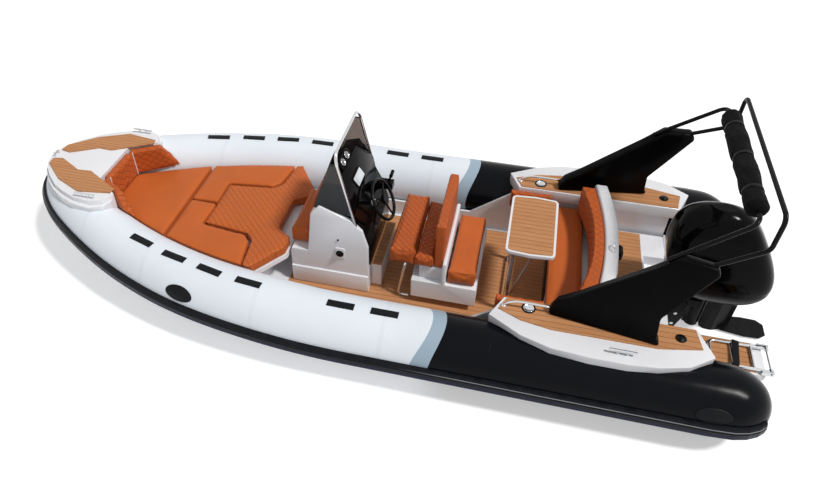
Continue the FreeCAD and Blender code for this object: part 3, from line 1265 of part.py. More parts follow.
# Shares of height, start, length and half breadth, and squareness, of the tray under the cowl.
tray_rows = [(0.0, 0.17, 0.52, 0.50, 0.62), (0.30, 0.10, 0.66, 0.80, 0.58), (0.62, 0.03, 0.83, 0.96, 0.55),
             (1.0, 0.0, 0.95, 1.0, 0.52)]
leg_parts.append(feature("engine_tray", moulding(tray_rows, cover_low, size("tray_height")), kept=False))
splash_shares = [(0.0, 0.55), (0.12, 0.95), (0.40, 1.0), (0.80, 0.75), (1.0, 0.35)]
leg_parts.append(prism("splash_plate", "XY_Plane",
                       mirrored_outline(splash_shares, size("splash_length") * 0.85, size("leg_width") * 0.7),
                       size("plate_thick"), (leg_front - size("splash_length"), 0, size("splash_height")),
                       kept=False))
leg_parts.append(lens("leg_housing", leg_front - size("leg_length"), size("leg_length"), leg_half, plate_z,
                      size("cowl_bottom") - plate_z - size("teak_thick")))
leg_parts.append(cylinder("king_pin", size("tilt_tube_radius"), size("cowl_bottom") - yoke_low,
                          (steer_x, 0, yoke_low), kept=False))
leg_parts.append(centred_box("lower_yoke", leg_front - size("leg_length") / 2,
                             size("leg_length") / 2 + swivel_reach * 1.6, size("tilt_tube_radius") * 2,
                             yoke_low, yoke_high, kept=False))
gear_start = leg_front - size("leg_length") - size("gear_radius") * 1.2
leg_parts.append(prism("vent_plate", "XY_Plane",
                       mirrored_outline(cover_shares, size("leg_length") * 1.5, size("leg_width") * 0.75),
                       size("plate_thick"), (gear_start - size("gear_radius"), 0, plate_z), kept=False))
leg_parts.append(lens("gear_strut", gear_start + size("gear_radius"), size("leg_length"), leg_half * 0.6, prop_z,
                      plate_z - prop_z + size("plate_thick") / 2))
gear_shares = [(0.0, 0.0), (0.0, 0.92), (0.35, 1.0), (0.70, 0.96), (0.88, 0.70), (0.97, 0.35), (1.0, 0.0)]
leg_parts.append(revolved("gearcase", shares_outline(gear_shares, size("gear_length"), size("gear_radius")),
                          (gear_start, 0, prop_z), kept=False))
skeg_shares = [(0.20, 0.0), (0.28, 0.85), (0.36, 1.0), (0.55, 1.0), (0.95, 0.0)]
leg_parts.append(prism("skeg", "XZ_Plane",
                       [(size("gear_length") * a * 0.75, -(prop_z - skeg_low) * b) for a, b in skeg_shares],
                       size("plate_thick"), (gear_start, size("plate_thick") / 2, prop_z), kept=False))
boolean("Part::MultiFuse", "outboard_leg", *leg_parts)

# Cowl: a hollow moulding over the powerhead.
cowl_rows = [(0.0, 0.0, 0.95, 1.0, 0.52), (0.08, 0.0, 0.96, 1.02, 0.52), (0.30, 0.05, 0.95, 1.0, 0.55),
             (0.52, 0.14, 0.87, 0.93, 0.58), (0.72, 0.24, 0.75, 0.80, 0.64), (0.86, 0.33, 0.61, 0.63, 0.72),
             (0.95, 0.42, 0.44, 0.44, 0.85), (1.0, 0.52, 0.22, 0.20, 1.0)]
cowl_low = size("cowl_bottom") + gap
cowl_blank = feature("cowl_blank", moulding(cowl_rows, cowl_low, size("cowl_height")), kept=False)
cowl_room = feature("cowl_room", moulding([(up - 0.04, a, b, c, d) for up, a, b, c, d in cowl_rows[:-1]],
                                          cowl_low, size("cowl_height"), 0.91), kept=False)
boolean("Part::Cut", "cowl", cowl_blank, cowl_room)
centred_box("powerhead", station("cowl_station") + size("cowl_length") * 0.30, size("engine_length"),
            size("engine_half"), size("cowl_bottom") + gap, size("engine_height"))

# Propeller: hub and three blades set at their pitch.
prop_front = gear_start - gap * 2
hub_length = size("prop_hub_length")
prop_parts = [cylinder("prop_hub", size("prop_hub"), hub_length, (prop_front - hub_length, 0, prop_z), (0, 1, 0), 90,
                       kept=False)]
blade_shares = [(-0.20, 0.20), (-0.42, 0.50), (-0.40, 0.80), (-0.15, 1.0), (0.20, 0.96), (0.42, 0.70), (0.38, 0.40),
                (0.20, 0.20)]
blade_pitch = 28.0
for number in range(3):
    body = prism("prop_blade_%d" % number, "XY_Plane",
                 [(size("prop_radius") * a, size("prop_radius") * b) for a, b in blade_shares], size("blade_thick"),
                 (0, 0, 0), kept=False)
    spin = FreeCAD.Rotation(FreeCAD.Vector(1, 0, 0), 120.0 * number)
    pitch = FreeCAD.Rotation(FreeCAD.Vector(0, 1, 0), 90.0 - blade_pitch)
    body.Placement = FreeCAD.Placement(FreeCAD.Vector((prop_front - hub_length / 2).value, 0, prop_z.value),
                                       spin.multiply(pitch))
    for letter, term in (("x", prop_front - hub_length / 2), ("z", prop_z)):
        bind(body, "Placement.Base.%s" % letter, term)
    prop_parts.append(body)
boolean("Part::MultiFuse", "propeller", *prop_parts)

# The finished sub-parts are checked, then written.
doc.recompute()
problems = [o.Label for o in doc.Objects if "Invalid" in o.State or "Error" in o.State]
for item in nodes:
    if item.Shape.isNull() or not item.Shape.isValid():
        problems.append(item.Label)
if problems:
    raise SystemExit("failed sub-parts: " + ", ".join(problems))
os.makedirs("parts", exist_ok=True)
for item in nodes:
    item.Shape.exportStep("parts/%s.step" % item.Label)
    print("%-22s solids %d volume %.4f" % (item.Label, len(item.Shape.Solids), item.Shape.Volume / 1e9))
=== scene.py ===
import json
import math

import bmesh
import bpy
from mathutils import Matrix, Vector, noise as lumps
from mathutils.bvhtree import BVHTree


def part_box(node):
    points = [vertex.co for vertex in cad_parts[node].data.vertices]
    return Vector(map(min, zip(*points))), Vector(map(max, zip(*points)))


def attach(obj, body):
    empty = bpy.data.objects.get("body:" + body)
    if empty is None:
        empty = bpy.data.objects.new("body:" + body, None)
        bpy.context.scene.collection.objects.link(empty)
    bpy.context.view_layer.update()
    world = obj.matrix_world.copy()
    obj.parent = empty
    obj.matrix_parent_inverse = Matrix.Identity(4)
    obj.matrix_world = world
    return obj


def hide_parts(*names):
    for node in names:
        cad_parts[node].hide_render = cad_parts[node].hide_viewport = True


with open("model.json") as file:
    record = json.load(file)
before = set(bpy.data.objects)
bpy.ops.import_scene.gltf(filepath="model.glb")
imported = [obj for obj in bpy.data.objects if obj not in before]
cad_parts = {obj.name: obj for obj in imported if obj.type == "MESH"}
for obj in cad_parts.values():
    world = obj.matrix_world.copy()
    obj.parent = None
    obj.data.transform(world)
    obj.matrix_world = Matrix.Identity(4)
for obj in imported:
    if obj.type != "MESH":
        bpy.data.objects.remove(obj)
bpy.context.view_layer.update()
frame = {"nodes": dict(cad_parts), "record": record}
nodes = frame["nodes"]
scene = bpy.context.scene
scene.view_settings.view_transform = "Standard"


# Camera of the photograph

def look(yaw, pitch, roll):
    """Right, up and forward of a camera that looks across the boat from port."""
    ahead = Vector((math.sin(yaw) * math.cos(pitch), -math.cos(yaw) * math.cos(pitch), -math.sin(pitch)))
    level = ahead.cross(Vector((0, 0, 1))).normalized()
    over = level.cross(ahead)
    right = level * math.cos(roll) + over * math.sin(roll)
    return right, over * math.cos(roll) - level * math.sin(roll), ahead


# Solved from the photograph: the picture, the focal length and the optical centre are in pixels
PICTURE = (834, 480)
FOCAL = 668.25
CENTRE = (378.63, 222.34)
CAMERA_SPOT = (-1.16552, 4.31612, 4.45285)
YAW = 0.241544
PITCH = 0.719167
ROLL = -0.004591
SENSOR = 36.0

right, up, ahead = look(YAW, PITCH, ROLL)
lens = bpy.data.cameras.new("photo_camera")
lens.sensor_width = SENSOR
lens.lens = FOCAL / PICTURE[0] * SENSOR
lens.shift_x = (PICTURE[0] / 2 - CENTRE[0]) / PICTURE[0]
lens.shift_y = (CENTRE[1] - PICTURE[1] / 2) / PICTURE[0]
lens.clip_start = 0.1
lens.clip_end = 200
camera = bpy.data.objects.new("photo_camera", lens)
scene.collection.objects.link(camera)
axes = Matrix((right, up, -ahead)).transposed().to_4x4()
camera.matrix_world = Matrix.Translation(CAMERA_SPOT) @ axes
scene.camera = camera


# Shader helpers

def node(tree, kind, inputs=None, **settings):
    """Adds a node, sets its properties, and sets or links its inputs."""
    made = tree.nodes.new(kind)
    for key, value in settings.items():
        setattr(made, key, value)
    for key, value in (inputs or {}).items():
        if hasattr(value, "is_linked"):
            tree.links.new(value, made.inputs[key])
        else:
            made.inputs[key].default_value = value
    return made


def calc(tree, operation, first, second=0.0):
    return node(tree, "ShaderNodeMath", {0: first, 1: second}, operation=operation).outputs[0]


def times(tree, first, second):
    return calc(tree, "MULTIPLY", first, second)


def apart(tree, first, second):
    """How far two values are apart."""
    return calc(tree, "ABSOLUTE", calc(tree, "SUBTRACT", first, second))


def blend_colour(tree, share, first, second):
    return node(tree, "ShaderNodeMix", {0: share, 6: first, 7: second}, data_type="RGBA").outputs[2]


def scaled(tree, colour, share):
    return node(tree, "ShaderNodeVectorMath", {0: colour, "Scale": share}, operation="SCALE").outputs[0]


def stretched(tree, where, scale):
    return node(tree, "ShaderNodeMapping", {"Vector": where, "Scale": scale}).outputs[0]


def parts_of(tree, vector):
    """X, Y and Z of a vector."""
    return node(tree, "ShaderNodeSeparateXYZ", {0: vector}).outputs


def noise(tree, where, scale, detail=4.0, rough=0.5):
    inputs = {"Vector": where, "Scale": scale, "Detail": detail, "Roughness": rough}
    return node(tree, "ShaderNodeTexNoise", inputs).outputs["Fac"]


def ramp(tree, value, low, high, out_low=0.0, out_high=1.0):
    made = node(tree, "ShaderNodeMapRange", {0: value, 1: low, 2: high, 3: out_low, 4: out_high},
                interpolation_type="SMOOTHSTEP")
    return made.outputs[0]


def band(tree, value, middle, near, far):
    """1 where a value is close to the middle of a band, 0 outside it."""
    return ramp(tree, apart(tree, value, middle), near, far, 1.0, 0.0)


def bump(tree, height, distance, strength=1.0, under=None):
    inputs = {"Height": height, "Distance": distance, "Strength": strength}
    if under is not None:
        inputs["Normal"] = under
    return node(tree, "ShaderNodeBump", inputs).outputs[0]


def rgb(r, g, b):
    return (r, g, b, 1.0)


def effect_group(name, inputs, outputs):
    """An empty effect with named sockets: gives its tree, its inputs and its outputs."""
    tree = bpy.data.node_groups.new(name, "ShaderNodeTree")
    for label, start in inputs.items():
        kind = {3: "Vector", 4: "Color"}[len(start)] if isinstance(start, tuple) else "Float"
        socket = tree.interface.new_socket(label, in_out="INPUT", socket_type="NodeSocket" + kind)
        socket.default_value = start
    for label, kind in outputs.items():
        tree.interface.new_socket(label, in_out="OUTPUT", socket_type="NodeSocket" + kind)
    return tree, tree.nodes.new("NodeGroupInput").outputs, tree.nodes.new("NodeGroupOutput").inputs


def effect(tree, group, **inputs):
    """Places an effect in a material. Its outputs are read by name."""
    return node(tree, "ShaderNodeGroup", inputs, node_tree=group).outputs


HERE = (0.0, 0.0, 0.0)


# Effects that several finishes share

def clouding_effect():
    """Soft changes of tone."""
    tree, given, out = effect_group("clouding", {"Place": HERE, "Colour": rgb(1, 1, 1), "Scale": 3.0,
                                                 "Darkest": 0.95, "Lightest": 1.02},
                                    {"Colour": "Color", "Mask": "Float"})
    mask = ramp(tree, noise(tree, given["Place"], given["Scale"], 4.0, 0.55), 0.3, 0.7)
    tone = blend_colour(tree, mask, scaled(tree, given["Colour"], given["Darkest"]),
                        scaled(tree, given["Colour"], given["Lightest"]))
    tree.links.new(tone, out["Colour"])
    tree.links.new(mask, out["Mask"])
    return tree


def dust_effect():
    """Dust that settles unevenly on what faces up."""
    tree, given, out = effect_group("dust", {"Place": HERE, "Scale": 14.0}, {"Mask": "Float"})
    upward = parts_of(tree, node(tree, "ShaderNodeNewGeometry").outputs["Normal"])[2]
    patches = ramp(tree, noise(tree, given["Place"], given["Scale"], 5.0, 0.65), 0.42, 0.78)
    tree.links.new(times(tree, patches, ramp(tree, upward, 0.2, 0.9, 0.15, 1.0)), out["Mask"])
    return tree


def pebble_effect():
    """Fine pebbled height of cast, painted or moulded skin."""
    tree, given, out = effect_group("pebble", {"Place": HERE, "Scale": 300.0}, {"Height": "Float"})
    tree.links.new(noise(tree, given["Place"], given["Scale"], 3.0, 0.6), out["Height"])
    return tree


def weave_effect():
    """Crossing threads."""
    tree, given, out = effect_group("weave", {"Place": HERE, "Scale": 260.0}, {"Height": "Float"})
    inputs = {"Vector": given["Place"], "Scale": given["Scale"], "Distortion": 0.4}
    threads = [node(tree, "ShaderNodeTexWave", inputs, bands_direction=way).outputs["Fac"] for way in "XYZ"]
    cloth = calc(tree, "MAXIMUM", times(tree, threads[0], threads[1]),
                 times(tree, threads[1], threads[2]))
    tree.links.new(cloth, out["Height"])
    return tree


def leather_effect():
    """Small cells of pressed leather grain."""
    tree, given, out = effect_group("leather", {"Place": HERE, "Scale": 420.0}, {"Height": "Float"})
    cells = node(tree, "ShaderNodeTexVoronoi", {"Vector": given["Place"], "Scale": given["Scale"]},
                 feature="DISTANCE_TO_EDGE")
    tree.links.new(ramp(tree, cells.outputs["Distance"], 0.0, 0.18), out["Height"])
    return tree


def stitch_effect():
    """Rows of stitching where the two ways' measures are whole numbers: a thread line, which also carries
    painted shade in the stitched crease, and a groove.
    """
    tree, given, out = effect_group("stitches", {"Place": HERE, "First": HERE, "Second": HERE},
                                    {"Thread_and_crease_shade": "Float", "Groove": "Float"})
    rows = []
    for way in ("First", "Second"):
        row = node(tree, "ShaderNodeVectorMath", {0: given["Place"], 1: given[way]}, operation="DOT_PRODUCT")
        rows.append(apart(tree, calc(tree, "FRACT", row.outputs["Value"]), 0.5))
    nearest = calc(tree, "MAXIMUM", rows[0], rows[1])
    # The thread line is also where the vinyl paints the shade of the stitched crease
    tree.links.new(ramp(tree, nearest, 0.462, 0.494), out["Thread_and_crease_shade"])
    tree.links.new(ramp(tree, nearest, 0.36, 0.5), out["Groove"])
    return tree


def plank_effect():
    """Synthetic teak planks along the boat with dark caulking between them."""
    tree, given, out = effect_group("planks", {"Place": HERE, "Width": 0.049},
                                    {"Colour": "Color", "Roughness": "Float", "Height": "Float"})
    brown = rgb(0.43, 0.190, 0.078)
    pale = rgb(0.58, 0.275, 0.120)
    honey = rgb(0.63, 0.33, 0.155)
    vein = rgb(0.31, 0.13, 0.055)
    caulk_black = rgb(0.10, 0.05, 0.025)
    split = parts_of(tree, given["Place"])
    row = calc(tree, "DIVIDE", split[1], given["Width"])
    caulk = ramp(tree, apart(tree, calc(tree, "FRACT", row), 0.5), 0.452, 0.474)
    number = calc(tree, "FLOOR", row)
    tone = node(tree, "ShaderNodeTexWhiteNoise", {"W": number}, noise_dimensions="1D").outputs["Value"]
    spot = node(tree, "ShaderNodeCombineXYZ", {0: split[0], 1: split[1], 2: number}).outputs[0]
    grain = noise(tree, stretched(tree, spot, (0.35, 7.0, 3.0)), 26.0, 6.0, 0.6)
    fine = noise(tree, stretched(tree, spot, (0.12, 3.0, 1.0)), 160.0, 3.0, 0.6)
    wood = blend_colour(tree, ramp(tree, grain, 0.3, 0.7), brown, pale)
    wood = blend_colour(tree, times(tree, tone, 0.30), wood, honey)
    wood = blend_colour(tree, times(tree, fine, 0.22), wood, vein)
    wood = blend_colour(tree, times(tree, caulk, 0.8), wood, caulk_black)
    tree.links.new(wood, out["Colour"])
    tree.links.new(ramp(tree, grain, 0.3, 0.7, 0.55, 0.72), out["Roughness"])
    tree.links.new(calc(tree, "SUBTRACT", times(tree, fine, 0.15), caulk), out["Height"])
    return tree


def tape_effect():
    """A glued tape across the tube at one place along it."""
    tree, given, out = effect_group("tape", {"Along": 0.0, "Seam": 0.0}, {"Mask": "Float"})
    tree.links.new(band(tree, given["Along"], given["Seam"], 0.0175, 0.0195), out["Mask"])
    return tree


CLOUDING = clouding_effect()
DUST = dust_effect()
PEBBLE = pebble_effect()
WEAVE = weave_effect()
LEATHER = leather_effect()
STITCHES = stitch_effect()
PLANKS = plank_effect()
TAPE = tape_effect()


# Finishes

def material(name):
    """A new material's own, tree, surface shader, and position on the object in metres."""
    made = bpy.data.materials.new(name)
    made.use_nodes = True
    tree = made.node_tree
    where = node(tree, "ShaderNodeTexCoord").outputs["Object"]
    return made, tree, tree.nodes["Principled BSDF"], where


def finish_surface(tree, shader, colour=None, rough=None, normal=None, **fixed):
    """Links what changes over the surface, and sets the rest on the shader's own sockets."""
    for socket, value in (("Base Color", colour), ("Roughness", rough), ("Normal", normal)):
        if value is None:
            continue
        if hasattr(value, "is_linked"):
            tree.links.new(value, shader.inputs[socket])
        else:
            shader.inputs[socket].default_value = value
    for key, value in fixed.items():
        shader.inputs[key.replace("_", " ")].default_value = value


def coated_fabric(name, colour, rough, shine, seams=()):
    """Air-tight coated fabric with glued tapes over its seams."""
    made, tree, shader, where = material(name)
    along = parts_of(tree, where)[0]
    cloud = effect(tree, CLOUDING, Place=where, Colour=rgb(*colour), Scale=1.6, Darkest=0.97, Lightest=1.02)
    base = cloud["Colour"]
    under_tape = rgb(*[c * 0.7 for c in colour])
    normal = bump(tree, effect(tree, WEAVE, Place=where, Scale=420.0)["Height"], 0.0004, 0.15)
    for seam in seams:
        tape = effect(tree, TAPE, Along=along, Seam=seam)["Mask"]
        normal = bump(tree, tape, 0.0016, 0.6, normal)
        base = blend_colour(tree, times(tree, tape, 0.10), base, under_tape)
    worn = ramp(tree, cloud["Mask"], 0.0, 1.0, rough - 0.03, rough + 0.04)
    finish_surface(tree, shader, base, worn, normal, Specular_IOR_Level=shine)
    return made


def gelcoat(name, colour):
    """Polished moulding with a little dust."""
    made, tree, shader, where = material(name)
    cloud = effect(tree, CLOUDING, Place=where, Colour=rgb(*colour), Scale=2.0, Darkest=0.98, Lightest=1.01)
    dust = effect(tree, DUST, Place=where, Scale=9.0)["Mask"]
    pale_dust = rgb(0.62, 0.58, 0.52)
    base = blend_colour(tree, times(tree, dust, 0.06), cloud["Colour"], pale_dust)
    normal = bump(tree, noise(tree, where, 7.0, 2.0), 0.002, 0.08)
    finish_surface(tree, shader, base, ramp(tree, dust, 0.0, 1.0, 0.24, 0.34), normal, Coat_Weight=0.25,
                   Coat_Roughness=0.10, Specular_IOR_Level=0.4)
    return made


def teak(name, width=0.049):
    """Teak decking in planks of one width."""
    made, tree, shader, where = material(name)
    planks = effect(tree, PLANKS, Place=where, Width=width)
    normal = bump(tree, planks["Height"], 0.0018, 0.7)
    finish_surface(tree, shader, planks["Colour"], planks["Roughness"], normal, Specular_IOR_Level=0.25)
    return made


def metal(name, colour, rough):
    """Polished steel that dust and fine scratches haze."""
    made, tree, shader, where = material(name)
    haze = effect(tree, DUST, Place=where, Scale=60.0)["Mask"]
    normal = bump(tree, effect(tree, PEBBLE, Place=where, Scale=240.0)["Height"], 0.0003, 0.1)
    worn = ramp(tree, haze, 0.0, 1.0, rough, rough * 2.2)
    finish_surface(tree, shader, rgb(*colour), worn, normal, Metallic=1.0)
    return made


def dark_paint(name, colour, rough, shine=0.3, grain=0.0):
    """Black mouldings and painted castings with a little dust."""
    made, tree, shader, where = material(name)
    dust = effect(tree, DUST, Place=where, Scale=11.0)["Mask"]
    dark_dust = rgb(0.10, 0.095, 0.09)
    base = blend_colour(tree, times(tree, dust, 0.05), rgb(*colour), dark_dust)
    normal = bump(tree, noise(tree, where, 5.0, 2.0), 0.002, 0.08)
    if grain:
        normal = bump(tree, effect(tree, PEBBLE, Place=where, Scale=420.0)["Height"], 0.0008, grain, normal)
    finish_surface(tree, shader, base, ramp(tree, dust, 0.0, 1.0, rough, rough + 0.10), normal,
                   Specular_IOR_Level=shine)
    return made


ORANGE = (0.515, 0.118, 0.023)
DEEP_ORANGE = (0.480, 0.098, 0.018)


def vinyl(name, colour=ORANGE, quilt=()):
    """Upholstery with leather grain, and stitching where its ways are given."""
    made, tree, shader, where = material(name)
    cloud = effect(tree, CLOUDING, Place=where, Colour=rgb(*colour), Scale=3.5, Darkest=0.94, Lightest=1.04)
    base = cloud["Colour"]
    normal = bump(tree, effect(tree, LEATHER, Place=where, Scale=420.0)["Height"], 0.0005, 0.3)
    if quilt:
        x, y, z = parts_of(tree, where)
        half = node(tree, "ShaderNodeCombineXYZ", {0: x, 1: calc(tree, "ABSOLUTE", y), 2: z}).outputs[0]
        sewn = effect(tree, STITCHES, Place=half, First=quilt[0], Second=quilt[1])
        groove = times(tree, calc(tree, "POWER", sewn["Groove"], 2.0), -1.0)
        normal = bump(tree, groove, 0.004, 0.8, normal)
        # The stitched rows are darkened: the thread, and painted shade in their creases
        dark = rgb(*[c * 0.45 for c in colour])
        base = blend_colour(tree, times(tree, sewn["Thread_and_crease_shade"], 0.55), base, dark)
    worn = ramp(tree, cloud["Mask"], 0.0, 1.0, 0.44, 0.54)
    finish_surface(tree, shader, base, worn, normal, Sheen_Weight=0.04, Specular_IOR_Level=0.2)
    return made


def smoked_screen(name):
    """Tinted acrylic whose tint turns black below the dash."""
    made, tree, shader, where = material(name)
    dash_low, dash_top = 0.98, 1.20
    smoke = rgb(0.15, 0.12, 0.105)
    black = rgb(0.04, 0.035, 0.032)
    low = ramp(tree, parts_of(tree, where)[2], dash_low, dash_top, 1.0, 0.0)
    tint = blend_colour(tree, low, smoke, black)
    haze = ramp(tree, noise(tree, where, 12.0, 3.0), 0.3, 0.7, 0.02, 0.06)
    finish_surface(tree, shader, tint, haze, Transmission_Weight=1.0, IOR=1.49)
    return made


def woven(name, colour):
    """Woven cover cloth."""
    made, tree, shader, where = material(name)
    threads = effect(tree, WEAVE, Place=where, Scale=230.0)["Height"]
    cloud = effect(tree, CLOUDING, Place=where, Colour=rgb(*colour), Scale=9.0, Darkest=0.8, Lightest=1.3)
    # The raised threads are painted lighter: a painted sheen on their crowns
    base = blend_colour(tree, times(tree, threads, 0.3), cloud["Colour"],
                        rgb(*[c * 2.2 for c in colour]))
    finish_surface(tree, shader, base, 0.8, bump(tree, threads, 0.0008, 0.5), Sheen_Weight=0.02,
                   Specular_IOR_Level=0.06)
    return made


def rail_rubber(name):
    """Moulded rubber with a groove, a navy stripe under it, and a thin pale line aft that is a painted
    highlight along its top bead.
    """
    made, tree, shader, where = material(name)
    # The rail runs level to where the bow starts, and rises with the tube from there
    bow_start, bow_reach, low_middle, rise = -0.2, 3.17, 0.305, 0.212
    x, _, z = parts_of(tree, where)
    share = calc(tree, "DIVIDE", calc(tree, "MAXIMUM", calc(tree, "ADD", x, -bow_start), 0.0), bow_reach)
    middle = calc(tree, "ADD", times(tree, calc(tree, "POWER", share, 1.5), rise), low_middle)
    height = calc(tree, "SUBTRACT", z, middle)
    over = ramp(tree, height, -0.030, -0.026)
    under = ramp(tree, height, 0.004, 0.008, 1.0, 0.0)
    stripe = times(tree, over, under)
    groove = band(tree, height, 0.018, 0.002, 0.005)
    # The pale line along the top bead is a painted highlight, strongest aft and gone forward of the middle
    aft = ramp(tree, x, -1.1, -0.5, 0.55, 0.0)
    line = times(tree, band(tree, height, 0.040, 0.0015, 0.0035), aft)
    scuff = effect(tree, CLOUDING, Place=where, Colour=rgb(0.005, 0.0055, 0.008), Scale=18.0, Darkest=0.8,
                   Lightest=1.5)
    navy = rgb(0.008, 0.010, 0.035)
    # Colour of the painted highlight on the top bead
    pale = rgb(0.45, 0.47, 0.50)
    base = blend_colour(tree, line, blend_colour(tree, stripe, scuff["Colour"], navy), pale)
    normal = bump(tree, times(tree, groove, -1.0), 0.004, 0.8)
    finish_surface(tree, shader, base, ramp(tree, scuff["Mask"], 0.0, 1.0, 0.34, 0.46), normal,
                   Specular_IOR_Level=0.12)
    return made


def dial_face(name):
    """Dark dials under glass."""
    made, tree, shader, where = material(name)
    cloud = effect(tree, CLOUDING, Place=where, Colour=rgb(0.20, 0.20, 0.21), Scale=40.0, Darkest=0.6,
                   Lightest=1.2)
    finish_surface(tree, shader, cloud["Colour"], ramp(tree, cloud["Mask"], 0.0, 1.0, 0.16, 0.22),
                   Specular_IOR_Level=0.2)
    return made


def display_glass(name):
    """Pale glass of the flat display."""
    made, tree, shader, where = material(name)
    cloud = effect(tree, CLOUDING, Place=where, Colour=rgb(0.52, 0.56, 0.60), Scale=8.0, Darkest=0.8,
                   Lightest=1.15)
    worn = ramp(tree, cloud["Mask"], 0.0, 1.0, 0.04, 0.07)
    finish_surface(tree, shader, cloud["Colour"], worn, Coat_Weight=0.8, Coat_Roughness=0.03)
    return made


# Places along the boat of the glued tapes
BOW_SEAMS = (-0.42, 0.62, 1.65, 2.35)
AFT_SEAMS = (-1.20,)

finishes = {
    "tube_white": coated_fabric("tube_white", (0.77, 0.83, 0.90), rough=0.45, shine=0.3, seams=BOW_SEAMS),
    "tube_black": coated_fabric("tube_black", (0.0032, 0.0036, 0.0056), rough=0.15, shine=0.08,
                                seams=AFT_SEAMS),
    "tube_grey": coated_fabric("tube_grey", (0.33, 0.43, 0.52), rough=0.45, shine=0.35),
    "rail_black": rail_rubber("rail_black"),
    "gelcoat": gelcoat("gelcoat", (0.78, 0.79, 0.83)),
    "teak": teak("teak"),
    "stainless": metal("stainless", (0.62, 0.63, 0.65), rough=0.13),
    "upholstery": vinyl("upholstery"),
    "screen_tint": smoked_screen("screen_tint"),
    "black_gloss": dark_paint("black_gloss", (0.0016, 0.0016, 0.0018), rough=0.10, shine=0.06),
    "black_frame": dark_paint("black_frame", (0.0035, 0.0035, 0.004), rough=0.26, shine=0.10, grain=0.3),
    "canvas_black": woven("canvas_black", (0.0040, 0.0040, 0.0045)),
    "engine_metal": dark_paint("engine_metal", (0.006, 0.006, 0.007), rough=0.28, shine=0.14),
}
teak_nose = teak("teak_nose", width=0.038)
arch_black = dark_paint("arch_black", (0.0016, 0.0016, 0.0018), rough=0.28, shine=0.04)
strip_rubber = dark_paint("strip_rubber", (0.006, 0.007, 0.009), rough=0.45, shine=0.10, grain=0.4)


def dress(item, made):
    item.data.materials.clear()
    item.data.materials.append(made)


slots = {row["node"]: row["material_slot"] for row in frame["record"]["subparts"]}
bodies = {name: body for body, names in frame["record"]["behaviour"]["bodies"].items() for name in names}
for name, slot in slots.items():
    dress(nodes[name], finishes[slot])
dress(nodes["nose_pads"], teak_nose)
dress(nodes["wear_strips"], strip_rubber)


# Meshes

UP = (0, 0, 1)
AHEAD = (1, 0, 0)
AFT = (-1, 0, 0)
PORT = (0, 1, 0)
INBOARD = (0, -1, 0)


def mesh_of(name, net):
    bmesh.ops.recalc_face_normals(net, faces=net.faces)
    mesh = bpy.data.meshes.new(name)
    net.to_mesh(mesh)
    net.free()
    return mesh


def piece(name, net, slot, finish=None, body="boat", crease=None):
    """Puts a piece in the scene, on its body, with its own finish or else its slot's."""
    mesh = mesh_of(name, net)
    item = bpy.data.objects.new(name, mesh)
    scene.collection.objects.link(item)
    dress(item, finish or finishes[slot])
    mesh.shade_smooth()
    if crease:
        mesh.set_sharp_from_angle(angle=math.radians(crease))
    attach(item, body)
    return item


def corners(name):
    """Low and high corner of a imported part's box."""
    low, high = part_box(name)
    return Vector(low), Vector(high)


def angles(count):
    """Even steps of one turn."""
    return [math.tau * i / count for i in range(count)]


def skin(net, rings, looped=False):
    """Joins rings of as many points each into a skin, with its ends closed unless it is a loop."""
    rows = [[net.verts.new(point) for point in ring] for ring in rings]
    pairs = list(zip(rows, rows[1:]))
    if looped:
        pairs.append((rows[-1], rows[0]))
    for first, second in pairs:
        count = len(first)
        for i in range(count):
            j = (i + 1) % count
            net.faces.new((first[i], first[j], second[j], second[i]))
    if not looped:
        net.faces.new(rows[0][::-1])
        net.faces.new(rows[-1])


def square_to(way):
    """Two directions square to a way."""
    way = Vector(way).normalized()
    side = way.cross(Vector((0, 0, 1)) if abs(way.z) < 0.9 else Vector((1, 0, 0))).normalized()
    return side, side.cross(way).normalized()


def turned(net, profile, foot, way, count=40):
    """A form turned about a way: its profile gives how far along and how far out."""
    side, over = square_to(way)
    way = Vector(way).normalized()
    rings = []
    for along, out in profile:
        centre = Vector(foot) + way * along
        rings.append([centre + (side * math.cos(a) + over * math.sin(a)) * out for a in angles(count)])
    skin(net, rings)


def smooth_path(points, steps=6):
    """Points of a smooth line through the given ones."""
    points = [Vector(p) for p in points]
    ends = [points[0] * 2 - points[1]] + points + [points[-1] * 2 - points[-2]]
    line = []
    for a, b, c, d in zip(ends, ends[1:], ends[2:], ends[3:]):
        for step in range(steps):
            t = step / steps
            line.append(b + (c - a) * (0.5 * t) + (a * 2 - b * 5 + c * 4 - d) * (0.5 * t * t)
                        + (b * 3 - a - c * 3 + d) * (0.5 * t ** 3))
    line.append(points[-1])
    return line


def strip(net, path, up_ways, wide, thick, count=16, looped=False):
    """A flat band with soft edges along a path, or a rod where it is as wide as thick."""
    squareness = 0.6 if wide > thick * 1.5 else 1.0
    outline = []
    for a in angles(count):
        across = math.copysign(abs(math.cos(a)) ** squareness, math.cos(a))
        raised = math.copysign(abs(math.sin(a)) ** squareness, math.sin(a))
        outline.append((across * wide / 2, raised * thick / 2))
    rings = []
    last = len(path) - 1
    for i, point in enumerate(path):
        if looped:
            way = path[(i + 1) % len(path)] - path[i - 1]
        else:
            way = path[min(i + 1, last)] - path[max(i - 1, 0)]
        over = Vector(up_ways[i] if isinstance(up_ways, list) else up_ways)
        side = way.cross(over).normalized()
        over = side.cross(way).normalized()
        rings.append([point + side * across + over * raised for across, raised in outline])
    skin(net, rings, looped)


def slab(net, outline, lift, soft):
    """A plate from its outline's points, raised along a way, with a softened edge."""
    centre = sum((Vector(p) for p in outline), Vector()) / len(outline)
    lift = Vector(lift)
    # Share of the lift, and share of the softening
    edge = ((0.0, 0.0), (0.6, 0.0), (0.86, 0.35), (1.0, 1.0))
    rings = []
    for share, inward in edge:
        ring = []
        for point in outline:
            reach = Vector(point) - centre
            ring.append(centre + reach * (1 - inward * soft / max(reach.length, soft)) + lift * share)
        rings.append(ring)
    skin(net, rings)


